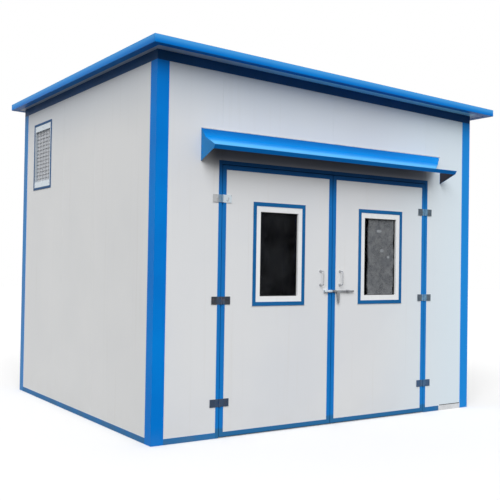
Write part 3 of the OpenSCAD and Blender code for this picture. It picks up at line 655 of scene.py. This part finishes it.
finishes = {}
for maker, looks in (
        (makeCoat, {"blueSteel": blueLook, "doorBlue": doorBlueLook, "trimBlue": trimBlueLook,
                    "ventTrimBlue": ventTrimLook, "grilleCoat": grilleLook, "ventWhite": ventFrameLook,
                    "trackBlue": trackBlueLook, "shadedHeadBlue": shadedHeadBlueLook, "whitePanel": whiteLook,
                    "frontPanel": frontLook, "leafPanel": leafLook, "roofPanel": roofLook,
                    "roofTrimBlue": roofTrimLook, "hoodBlue": hoodLook, "hoodEndBlue": hoodEndLook,
                    "windowWhite": windowLook, "shadedBackCoat": shadedBackCoatLook}),
        (makeZinc, {"dullZinc": zincLook, "handleSteel": handleLook, "boltSteel": boltLook,
                    "highlitKeeperSteel": highlitKeeperLook, "bareZinc": bareLook, "meshZinc": meshLook}),
        (makeHingeSteel, {"leftHingeSteel": leftHingeLook, "rightHingeSteel": rightHingeLook}),
        (makeGlass, {"shadedGlass": shadedGlassLook}),
        (makeReflectionFilm, {"reflectionFilm": reflectionLook, "thinReflectionFilm": thinReflectionLook}),
        (makeDeck, {"deckWood": deckLook}),
        (makeSoft, {"blackRubberAndShade": rubberAndShadeLook, "greySealant": sealantLook, "whiteSealant": whiteSealantLook})):
    for name, look in looks.items():
        finishes[name] = maker(name, look)

# the finish of each slot's nodes, and then of the nodes that have one of their own
slotFinishes = {"blue_steel": "blueSteel", "white_panel": "whitePanel", "window_white": "windowWhite",
                "window_glass": "shadedGlass", "galvanised": "dullZinc", "black_steel": "leftHingeSteel",
                "deck": "deckWood"}
nodeFinishes = {
    "shadedHeadBlue": ("head_tracks_long", "head_tracks_side"),
    "roofPanel": ("roof_panels",),
    "roofTrimBlue": ("roof_trims_long", "roof_trims_side"),
    "hoodBlue": ("hood_sheet",),
    "hoodEndBlue": ("hood_ends",),
    "frontPanel": ("front_wall_over_door", "front_wall_left", "front_wall_right"),
    "leafPanel": ("left_door_panel", "right_door_panel"),
    "trackBlue": ("base_track_front_left", "base_track_front_right", "base_track_back", "base_tracks_side"),
    "bareZinc": ("base_track_bare_end",),
    "doorBlue": ("door_jambs", "door_head", "left_door_edge", "right_door_edge"),
    "trimBlue": ("left_window_trim", "right_window_trim"),
    "ventTrimBlue": ("vent_trim",),
    "ventWhite": ("vent_frame",),
    "grilleCoat": ("vent_grille",),
    "handleSteel": ("left_pull", "right_pull"),
    "boltSteel": ("bolt_rod", "bolt_guides"),
    "highlitKeeperSteel": ("bolt_keeper",),
    "rightHingeSteel": ("right_hinge_plates", "right_hinge_leaves")}
for part in frame["record"]["subparts"]:
    materials = frame["nodes"][part["node"]].data.materials
    materials.clear()
    materials.append(finishes[slotFinishes[part["material_slot"]]])
for finish, nodes in nodeFinishes.items():
    for node in nodes:
        frame["nodes"][node].data.materials[0] = finishes[finish]
print("finishes given to the nodes")


# heads of the fasteners, each drawn once and copied

headSides = 12
headSizes = {
    "rivet": {"washer": 0.0050, "washerThick": 0.0007, "head": 0.0042, "headThick": 0.0004, "dome": 0.0006},
    "pullScrew": {"washer": 0.0030, "washerThick": 0.0004, "head": 0.0024, "headThick": 0.0003, "dome": 0.0003},
    "roofScrew": {"washer": 0.0085, "washerThick": 0.0015, "head": 0.0048, "headThick": 0.0040, "dome": 0.0004},
    "hingeScrew": {"washer": 0.0048, "washerThick": 0.0006, "head": 0.0040, "headThick": 0.0003, "dome": 0.0004}}


def makeHead(size):
    # a washer disc with the head raised out of it, facing up, and a low dome on the head
    deselectAll()
    bpy.ops.mesh.primitive_cylinder_add(vertices=headSides, radius=size["washer"], depth=size["washerThick"],
                                        location=(0, 0, size["washerThick"] / 2))
    head = newPiece()
    editPiece(head)
    selectTopFaces(head)
    bpy.ops.mesh.inset(thickness=size["washer"] - size["head"], depth=0)
    bpy.ops.mesh.extrude_region_move(TRANSFORM_OT_translate={"value": (0, 0, size["headThick"])})
    bpy.ops.mesh.inset(thickness=size["head"] * 0.35, depth=size["dome"])
    leaveEdit()
    return head


heads = {kind: makeHead(size) for kind, size in headSizes.items()}


def placeHeads(kind, name, spots, side, finish="blueSteel", body="cabin"):
    copies = []
    for spot in spots:
        pickPiece(heads[kind])
        bpy.ops.object.duplicate(linked=False)
        copy = bpy.context.object
        copy.rotation_euler = inRadians(facing[side])
        copy.location = spot
        copies.append(copy)
    row = joinPieces(copies)
    applyPlace(row)
    smoothPiece(row, 30)
    finishPiece(row, name, finish, body)


# rivets along the folded steel

postRows = {"count": 8, "lowest": 0.10, "belowTop": 0.08, "fromEdge": 0.045}


def addPostRivets(dims):
    for name, x, inward in (("left", postLow.x, 1), ("right", postHigh.x, -1)):
        top = roofUnder(x) - headTall - dims["belowTop"]
        heights = spread(dims["lowest"], top, dims["count"])
        for side, y, outward in (("front", postLow.y, 1), ("back", postHigh.y, -1)):
            post = f"{side}{name.title()}Post"
            placeHeads("rivet", f"{post}Rivets", [(x + inward * dims["fromEdge"], y, z) for z in heights], side)
            placeHeads("rivet", f"{post}SideRivets", [(x, y + outward * dims["fromEdge"], z) for z in heights], name)


addPostRivets(postRows)


def wallRow(side, dims):
    # even places along a wall's foot or head
    if side in ("left", "right"):
        x = postLow.x if side == "left" else postHigh.x
        count = int((backY - frontY) / dims["step"])
        return [(x, y) for y in spread(frontY + dims["clear"], backY - dims["clear"], count)]
    y = postLow.y if side == "front" else postHigh.y
    count = int((rightX - leftX) / dims["step"])
    return [(x, y) for x in spread(leftX + dims["clear"], rightX - dims["clear"], count)]


trackRows = {"step": 0.42, "height": 0.022, "clear": 0.16, "beforeDoor": 0.10, "pastDoor": 0.07}


def addTrackRivets(dims):
    rows = {side: wallRow(side, dims) for side in ("left", "right", "back")}
    # the doorway leaves room for three at the front
    xs = (leftX + dims["clear"], jambLow.x - dims["beforeDoor"], jambHigh.x + dims["pastDoor"])
    rows["front"] = [(x, postLow.y) for x in xs]
    for side, row in rows.items():
        placeHeads("rivet", f"{side}TrackRivets", [(x, y, dims["height"]) for x, y in row], side, "trackBlue")


addTrackRivets(trackRows)

headRows = {"step": 0.40, "below": 0.045, "clear": 0.12}


def addHeadRivets(dims):
    for side in ("front", "back", "left", "right"):
        spots = [(x, y, roofUnder(x) - dims["below"]) for x, y in wallRow(side, dims)]
        placeHeads("rivet", f"{side}HeadTrackRivets", spots, side, "shadedHeadBlue")


addHeadRivets(headRows)

frameRows = {"fromEdge": 0.012, "count": 7, "lowest": 0.12, "belowHead": 0.02, "fromJamb": 0.15}


def addFrameRivets(dims):
    heights = spread(dims["lowest"], headLow.z - dims["belowHead"], dims["count"])
    for side, x in (("left", jambLow.x + dims["fromEdge"]), ("right", jambHigh.x - dims["fromEdge"])):
        placeHeads("rivet", f"{side}JambRivets", [(x, jambLow.y, z) for z in heights], "front", "doorBlue")
    xs = spread(jambLow.x + dims["fromJamb"], jambHigh.x - dims["fromJamb"], dims["count"])
    spots = [(x, headLow.y, headHigh.z - dims["fromEdge"]) for x in xs]
    placeHeads("rivet", "doorHeadRivets", spots, "front", "doorBlue")


addFrameRivets(frameRows)
print("rivets placed")

bareShadowLineFix = {"tall": 0.006, "proud": 0.0015, "sunk": 0.0004, "lift": 0.0005, "fromLeft": 0.01, "fromRight": 0.095,
           "eased": 0.0009}


def addBareEndShadowLine(dims):
    # a black strip of painted shade, drawn as a thin bead, where the wall meets the bare stretch of track
    low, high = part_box("base_track_bare_end")
    foot = high.z + dims["lift"]
    shadowLine = addBlock((low.x + dims["fromLeft"], frontY - dims["proud"], foot),
                    (high.x - dims["fromRight"], frontY + dims["sunk"], foot + dims["tall"]))
    easeEdges(shadowLine, dims["eased"], 2)
    finishPiece(shadowLine, "bareEndShadowLine", "blackRubberAndShade")


addBareEndShadowLine(bareShadowLineFix)


# tongue strips deep in the joints between the wall panels

jointFix = {"recess": 0.0007, "deep": 0.006, "wide": 0.0018, "eased": 0.0004, "aboveTrack": 0.004,
            "belowTrack": 0.004, "aboveDoor": 0.002, "besideDoor": 0.001, "sideHalf": 0.330, "backHalf": 0.508}


def addUpright(x, y, low, high, dims, side):
    # one strip in a joint, with its edges eased
    half = dims["wide"] / 2
    inward = 1 if side in ("front", "left") else -1
    near, far = sorted((inward * dims["recess"], inward * dims["deep"]))
    if side in ("front", "back"):
        strip = addBlock((x - half, y + near, low), (x + half, y + far, high))
    else:
        strip = addBlock((x + near, y - half, low), (x + far, y + half, high))
    easeEdges(strip, dims["eased"])
    return strip


def addJointStrips(dims):
    overLow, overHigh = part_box("front_wall_over_door")
    foot, overDoor = trackTop + dims["aboveTrack"], headHigh.z + dims["aboveDoor"]
    middleX, middleY = (leftX + rightX) / 2, (frontY + backY) / 2
    frontXs = (overLow.x - dims["besideDoor"], (overLow.x + overHigh.x) / 2, overHigh.x + dims["besideDoor"])
    rows = {"front": [(x, frontY, overDoor) for x in frontXs],
            "left": [(leftX, middleY + way * dims["sideHalf"], foot) for way in (-1, 1)],
            "right": [(rightX, middleY + way * dims["sideHalf"], foot) for way in (-1, 1)],
            "back": [(middleX + way * dims["backHalf"], backY, foot) for way in (-1, 1)]}
    for side, row in rows.items():
        strips = [addUpright(x, y, low, roofUnder(x) - headTall - dims["belowTrack"], dims, side)
                  for x, y, low in row]
        finishPiece(joinPieces(strips), f"{side}JointStrips", "frontPanel" if side == "front" else "whiteSealant")


addJointStrips(jointFix)
print("panel joints filled")


# roof: cover strips on the joints and screws into the tracks

roofFix = {"jointHalf": 0.550, "stripWide": 0.070, "stripThick": 0.0015, "lift": 0.0003, "hem": 0.006,
           "raised": 0.0012, "endClear": 0.045, "stripScrews": 9, "screwClear": 0.12, "screwLift": 0.0035,
           "screwsAcross": 8, "rows": (0.18, 0.5, 0.82), "screwFrom": -1.30, "screwTo": 1.45}


def addRoofStrips(dims):
    for side, x in (("left", -dims["jointHalf"]), ("right", dims["jointHalf"])):
        top = roofUnder(x) + roofThick
        foot, half = top + dims["lift"], dims["stripWide"] / 2
        strip = addBlock((x - half, roofLow.y + dims["endClear"], foot),
                         (x + half, roofHigh.y - dims["endClear"], foot + dims["stripThick"]))
        editPiece(strip)
        selectTopFaces(strip)
        bpy.ops.mesh.inset(thickness=dims["hem"], depth=dims["raised"])
        bpy.ops.mesh.select_all(action="SELECT")
        bpy.ops.transform.rotate(value=-math.atan(roofSlope), orient_axis="Y", center_override=(x, 0, top))
        leaveEdit()
        finishPiece(strip, f"{side}RoofStrip", "roofPanel")
        ys = spread(roofLow.y + dims["screwClear"], roofHigh.y - dims["screwClear"], dims["stripScrews"])
        spots = [(x, y, top + dims["screwLift"]) for y in ys]
        placeHeads("roofScrew", f"{side}RoofStripScrews", spots, "up", "dullZinc")


def addRoofScrews(dims):
    xs = spread(dims["screwFrom"], dims["screwTo"], dims["screwsAcross"])
    for index, share in enumerate(dims["rows"]):
        y = roofLow.y + share * (roofHigh.y - roofLow.y)
        spots = [(x, y, roofUnder(x) + roofThick) for x in xs]
        placeHeads("roofScrew", f"roofScrewRow{index + 1}", spots, "up", "dullZinc")


addRoofStrips(roofFix)
addRoofScrews(roofFix)
print("roof dressed")


# rain hood: grey back coat made near black as painted shade, hem behind the lip, sealant along the wall, rivets in its
# end

hoodFix = {"kneeDrop": 0.070, "kneeOut": 0.060, "frontDrop": 0.133, "lipBack": 0.018, "sheet": 0.002,
           "off": 0.0012, "thin": 0.0004, "short": 0.006, "cutAtWall": 0.015, "cutAtFront": 0.245,
           "cutShort": 0.004, "rightTall": 0.095, "hemRadius": 0.0025, "hemShort": 0.008, "hemEased": 0.0008,
           "bead": 0.005, "beadShort": 0.02, "beadDrop": 0.001, "beadSunk": 0.0005, "rivetOut": 0.022,
           "rivetDrops": (0.075, 0.130, 0.175)}
hoodWide, hoodReach = hoodHigh.x - hoodLow.x, hoodHigh.y - hoodLow.y
hoodMiddle, hoodFront = (hoodLow.x + hoodHigh.x) / 2, frontY - hoodReach


def addHoodLining(dims):
    # a strip drawn edge by edge along the underside of the sheet, from the wall out to the lip
    sheet, off = dims["sheet"], dims["off"]
    line = [(frontY - sheet - off, hoodHigh.z - 2.5 * sheet - 2 * off),
            (frontY - dims["kneeOut"] + 0.5 * sheet + off, hoodHigh.z - dims["kneeDrop"] - 1.5 * sheet - off),
            (hoodFront + 1.5 * sheet + 2 * off, hoodHigh.z - dims["frontDrop"] - 0.5 * sheet - off),
            (hoodFront + dims["lipBack"] + sheet + off, hoodLow.z + 0.5 * sheet)]
    deselectAll()
    bpy.ops.mesh.primitive_plane_add(size=1)
    lining = bpy.context.object
    lining.scale = (hoodWide - dims["short"], 1, 1)
    lining.location = (hoodMiddle, 0, 0)
    applyPlace(lining)
    editPiece(lining)
    for start, (y, z) in ((0.5, line[0]), (-0.5, line[1])):
        selectEdgeAt(lining, start)
        bpy.ops.transform.translate(value=(0, y - start, z))
    for before, after in zip(line[1:], line[2:]):
        bpy.ops.mesh.extrude_region_move(
            TRANSFORM_OT_translate={"value": (0, after[0] - before[0], after[1] - before[1])})
    # the sheet is cut back at its right end, and so is its lining
    bpy.ops.mesh.select_all(action="SELECT")
    bpy.ops.mesh.bisect(plane_co=(hoodHigh.x - dims["cutAtWall"] - dims["cutShort"], frontY, hoodHigh.z),
                        plane_no=(hoodReach, dims["cutAtWall"] - dims["cutAtFront"], 0), clear_outer=True)
    leaveEdit()
    applyModifier(lining, "SOLIDIFY", thickness=dims["thin"], offset=0)
    finishPiece(lining, "hoodLining", "shadedBackCoat")


def addEndLinings(dims):
    # the same back coat, made near black as painted shade, on the inner faces of the end plates, a few millimetres
    # inside their edges
    endsLow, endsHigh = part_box("hood_ends")
    fold = hoodHigh.z - dims["frontDrop"]
    tip = (hoodFront + dims["lipBack"] + 0.004, hoodLow.z + 0.003)
    knee = (frontY - dims["kneeOut"] + 0.003, hoodHigh.z - dims["kneeDrop"] - 0.006)
    shapes = {"left": (endsLow.x + dims["sheet"], 1,
                       [(frontY - 0.004, endsLow.z + 0.004), tip, (hoodFront + 0.005, fold - 0.003), knee,
                        (frontY - 0.004, hoodHigh.z - 0.012)]),
              "right": (endsHigh.x - dims["sheet"], -1,
                        [(frontY - 0.003, endsLow.z + 0.003), tip, (hoodFront + 0.005, fold - 0.002),
                         (frontY - 0.003, endsLow.z + dims["rightTall"] - 0.003)])}
    for side, (x, inward, corners) in shapes.items():
        deselectAll()
        bpy.ops.mesh.primitive_circle_add(vertices=len(corners), radius=0.1, fill_type="NGON")
        plate = newPiece()
        editPiece(plate)
        mesh = bmesh.from_edit_mesh(plate.data)
        for vert, (y, z) in zip(mesh.verts, corners):
            vert.co = (x + inward * dims["off"] * 0.5, y, z)
        bmesh.update_edit_mesh(plate.data)
        leaveEdit()
        applyModifier(plate, "SOLIDIFY", thickness=dims["thin"], offset=0)
        finishPiece(plate, f"{side}HoodEndLining", "shadedBackCoat")


def addHoodHem(dims):
    inside = dims["sheet"] + dims["hemRadius"]
    hem = addRod(dims["hemRadius"], hoodWide - dims["hemShort"],
                 (hoodMiddle, hoodLow.y + dims["lipBack"] + inside, hoodLow.z + inside))
    easeEdges(hem, dims["hemEased"], 2)
    smoothPiece(hem)
    finishPiece(hem, "hoodHem", "blueSteel")


def addHoodBead(dims):
    bead = addRod(dims["bead"], hoodWide - dims["beadShort"], (hoodMiddle, frontY, hoodHigh.z - dims["beadDrop"]))
    editPiece(bead)
    bpy.ops.mesh.select_all(action="SELECT")
    bpy.ops.mesh.bisect(plane_co=(0, frontY + dims["beadSunk"], 0), plane_no=(0, 1, 0), clear_outer=True,
                        use_fill=True)
    leaveEdit()
    smoothPiece(bead)
    finishPiece(bead, "hoodBead", "greySealant")


def addHoodRivets(dims):
    spots = [(hoodLow.x, frontY - dims["rivetOut"], hoodHigh.z - drop) for drop in dims["rivetDrops"]]
    placeHeads("rivet", "hoodEndRivets", spots, "left")


for addPart in (addHoodLining, addEndLinings, addHoodHem, addHoodBead, addHoodRivets):
    addPart(hoodFix)
print("rain hood dressed")


# doors: gaskets, painted reflections on the panes, screws of the fittings, seals on the stops

# the groove hides the rim of the glass, and the painted reflection lies on what shows of it
paneFix = {"groove": 0.008, "band": 0.004, "proud": 0.003, "dust": 0.0003, "off": 0.0004, "beadOver": 0.004,
           "beadBand": 0.002, "beadProud": 0.003}


def dressWindow(side, film, dims):
    low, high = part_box(f"{side}_window_glass")
    wide, tall = high.x - low.x - 2 * dims["groove"], high.z - low.z - 2 * dims["groove"]
    middle = (low + high) / 2
    body = f"{side}_door"
    for name, y, way in (("Outer", low.y, "front"), ("Inner", high.y, "back")):
        ring = addRing(wide, tall, dims["band"], dims["proud"], way, (middle.x, y, middle.z))
        finishPiece(ring, f"{side}{name}Gasket", "blackRubberAndShade", body)
    halfWide, halfTall = wide / 2 - dims["band"], tall / 2 - dims["band"]
    # a thin film over the pane, carrying its painted reflection
    dust = addBlock((middle.x - halfWide, low.y - dims["off"] - dims["dust"], middle.z - halfTall),
                    (middle.x + halfWide, low.y - dims["off"], middle.z + halfTall))
    easeEdges(dust, dims["dust"] / 3)
    finishPiece(dust, f"{side}PaneReflection", film, body)
    # bead of sealant round the trim
    low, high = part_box(f"{side}_window_trim")
    middle = (low + high) / 2
    bead = addRing(high.x - low.x + dims["beadOver"], high.z - low.z + dims["beadOver"], dims["beadBand"],
                   dims["beadProud"], "front", (middle.x, frontY, middle.z))
    finishPiece(bead, f"{side}TrimBead", "greySealant", body)


dressWindow("left", "thinReflectionFilm", paneFix)
dressWindow("right", "reflectionFilm", paneFix)

hingeFix = {"rise": 0.016, "near": 0.020, "far": 0.062, "tall": 0.054, "thick": 0.003}


def addHingeScrews(dims):
    half, y = dims["tall"] / 2, jambLow.y - dims["thick"]
    for side, way in (("left", 1), ("right", -1)):
        low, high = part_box(f"{side}_hinge_plates")
        fixed, moving = [], []
        for z in (low.z + half, (low.z + high.z) / 2, high.z - half):
            for reach, rise in ((dims["near"], dims["rise"]), (dims["near"], -dims["rise"]), (dims["far"], 0)):
                fixed.append((pinX[side] - way * reach, y, z + rise))
                moving.append((pinX[side] + way * reach, y, z + rise))
        finish = f"{side}HingeSteel"
        placeHeads("hingeScrew", f"{side}HingePlateScrews", fixed, "front", finish)
        placeHeads("hingeScrew", f"{side}HingeLeafScrews", moving, "front", finish, f"{side}_door")


addHingeScrews(hingeFix)

sealFix = {"wide": 0.010, "thick": 0.005, "fromEdge": 0.006, "lowest": 0.02, "stopSheet": 0.002, "eased": 0.0015}


def addStopSeals(dims):
    # compression strips on the stops, just behind the closed leaves
    wide, lowest = dims["wide"], dims["lowest"]
    back = jambHigh.y - dims["stopSheet"]
    front = back - dims["thick"]
    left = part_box("left_door_edge")[0].x + dims["fromEdge"]
    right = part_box("right_door_edge")[1].x - dims["fromEdge"]
    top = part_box("left_door_edge")[1].z - dims["fromEdge"]
    strips = [addBlock((left, front, lowest), (left + wide, back, top)),
              addBlock((right - wide, front, lowest), (right, back, top)),
              addBlock((left + wide, front, top - wide), (right - wide, back, top))]
    for strip in strips:
        easeEdges(strip, dims["eased"], 2)
    finishPiece(joinPieces(strips), "stopSeals", "blackRubberAndShade")


addStopSeals(sealFix)

pullFix = {"fromEnd": 0.011, "aside": 0.0073, "footThick": 0.003}


def addPullScrews(dims):
    for side in ("left", "right"):
        low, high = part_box(f"{side}_pull")
        x, y = (low.x + high.x) / 2, frontY - dims["footThick"]
        spots = [(x + way * dims["aside"], y, z)
                 for z in (high.z - dims["fromEnd"], low.z + dims["fromEnd"]) for way in (-1, 1)]
        placeHeads("pullScrew", f"{side}PullScrews", spots, "front", "handleSteel", f"{side}_door")


addPullScrews(pullFix)

sillFix = {"count": 6, "clear": 0.08, "inward": 0.012, "sunk": 0.0004}


def addSillScrews(dims):
    low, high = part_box("threshold")
    xs = spread(low.x + dims["clear"], high.x - dims["clear"], dims["count"])
    spots = [(x, (low.y + high.y) / 2 + dims["inward"], high.z - dims["sunk"]) for x in xs]
    placeHeads("hingeScrew", "thresholdScrews", spots, "up", "dullZinc")


addSillScrews(sillFix)
print("doors dressed")


# vent: insect screen behind the grille and screws in its frame

ventFix = {"behind": 0.002, "wire": 0.0036, "pitch": 0.0062, "easedShare": 0.28, "screwsAcross": 3,
           "fromSide": 0.03, "fromEnd": 0.025}


def addVentScreen(dims):
    # woven wires stand in two layers, each copied from one drawn wire
    wire, pitch = dims["wire"], dims["pitch"]
    low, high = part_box("vent_grille")
    x = high.x + dims["behind"]
    layers = []
    for front, far, room, step in (
            (x, (x + wire, low.y + wire, high.z), high.y - low.y, (0, pitch, 0)),
            (x + wire, (x + 2 * wire, high.y, low.z + wire), high.z - low.z, (0, 0, pitch))):
        first = addBlock((front, low.y, low.z), far)
        easeEdges(first, wire * dims["easedShare"])
        applyModifier(first, "ARRAY", count=int(room / pitch), use_relative_offset=False,
                      use_constant_offset=True, constant_offset_displace=step)
        layers.append(first)
    finishPiece(joinPieces(layers), "ventScreen", "meshZinc")


def addVentScrews(dims):
    ys = spread(ventLow.y + dims["fromSide"], ventHigh.y - dims["fromSide"], dims["screwsAcross"])
    heights = (ventLow.z + dims["fromEnd"], ventHigh.z - dims["fromEnd"])
    placeHeads("hingeScrew", "ventScrews", [(ventLow.x, y, z) for z in heights for y in ys], "left", "dullZinc")


addVentScreen(ventFix)
addVentScrews(ventFix)
for head in heads.values():
    bpy.data.objects.remove(head)
print("vent dressed")


# floor, light and camera

stageLook = {"floorSize": 60, "floorDrop": 0.0005, "shown": 0.83, "bounce": 0.12, "sky": 1.00, "horizon": 0.55,
             "skyFrom": 0.7, "ground": 0.08, "sunStrength": 2.5, "sunAngle": 45, "sunTurn": (49, 0, -36)}


def showWhite(tree, lighting, seen, output):
    # what the camera, mirrors and glass see is apart from what lights the object
    path = addNode(tree, "ShaderNodeLightPath").outputs
    both = addMath(tree, "ADD", path["Is Camera Ray"], path["Is Glossy Ray"])
    viewer = addMath(tree, "ADD", both, path["Is Transmission Ray"], clamp=True)
    mix = addNode(tree, "ShaderNodeMixShader")
    for socket, value in zip(mix.inputs, (viewer, lighting, seen)):
        feed(tree, socket, value)
    feed(tree, addNode(tree, output).inputs["Surface"], mix.outputs[0])


def addFloor(look):
    deselectAll()
    bpy.ops.mesh.primitive_plane_add(size=look["floorSize"], location=(0, 0, -look["floorDrop"]))
    floor = newPiece()
    floor.name = "studioFloor"
    material = bpy.data.materials.new("studioFloor")
    material.use_nodes = True
    tree = material.node_tree
    tree.nodes.clear()
    shades = []
    for grey in (look["bounce"], look["shown"]):
        shade = addNode(tree, "ShaderNodeBsdfDiffuse")
        feed(tree, shade.inputs["Color"], (grey,) * 3)
        shades.append(shade.outputs[0])
    showWhite(tree, *shades, "ShaderNodeOutputMaterial")
    floor.data.materials.append(material)


def lightWorld(look):
    world = bpy.data.worlds.new("softSky")
    bpy.context.scene.world = world
    world.use_nodes = True
    tree = world.node_tree
    tree.nodes.clear()
    height = splitPlace(tree, addNode(tree, "ShaderNodeTexCoord").outputs["Generated"])["Z"]
    above = addRamp(tree, height, 0.0, look["skyFrom"], look["horizon"], look["sky"])
    strength = addNode(tree, "ShaderNodeMix", data_type="FLOAT")
    for index, value in ((0, addMath(tree, "GREATER_THAN", height, 0.0)), (2, look["ground"]), (3, above)):
        feed(tree, strength.inputs[index], value)
    sky = addNode(tree, "ShaderNodeBackground")
    feed(tree, sky.inputs["Strength"], strength.outputs[0])
    white = addNode(tree, "ShaderNodeBackground")
    feed(tree, white.inputs["Strength"], 1.0)
    feed(tree, white.inputs["Color"], (1, 1, 1))
    showWhite(tree, sky.outputs[0], white.outputs[0], "ShaderNodeOutputWorld")


def addSun(look):
    deselectAll()
    bpy.ops.object.light_add(type="SUN", rotation=inRadians(look["sunTurn"]))
    sun = bpy.context.object
    sun.name = "softSun"
    sun.data.energy = look["sunStrength"]
    sun.data.angle = math.radians(look["sunAngle"])


cameraFit = {"place": (-3.9558, -6.0455, 1.2105), "turn": (90.9992, -0.9082, -33.8652), "lens": 57.550,
             "sensor": 36, "farClip": 200}


def addCamera(fit):
    deselectAll()
    bpy.ops.object.camera_add(location=fit["place"], rotation=inRadians(fit["turn"]))
    camera = bpy.context.object
    camera.name = "photoCamera"
    camera.data.sensor_width = fit["sensor"]
    camera.data.lens = fit["lens"]
    camera.data.clip_end = fit["farClip"]
    bpy.context.scene.camera = camera


addFloor(stageLook)
lightWorld(stageLook)
addSun(stageLook)
addCamera(cameraFit)
bpy.context.scene.view_settings.view_transform = "Standard"
print("stage, light and camera set")
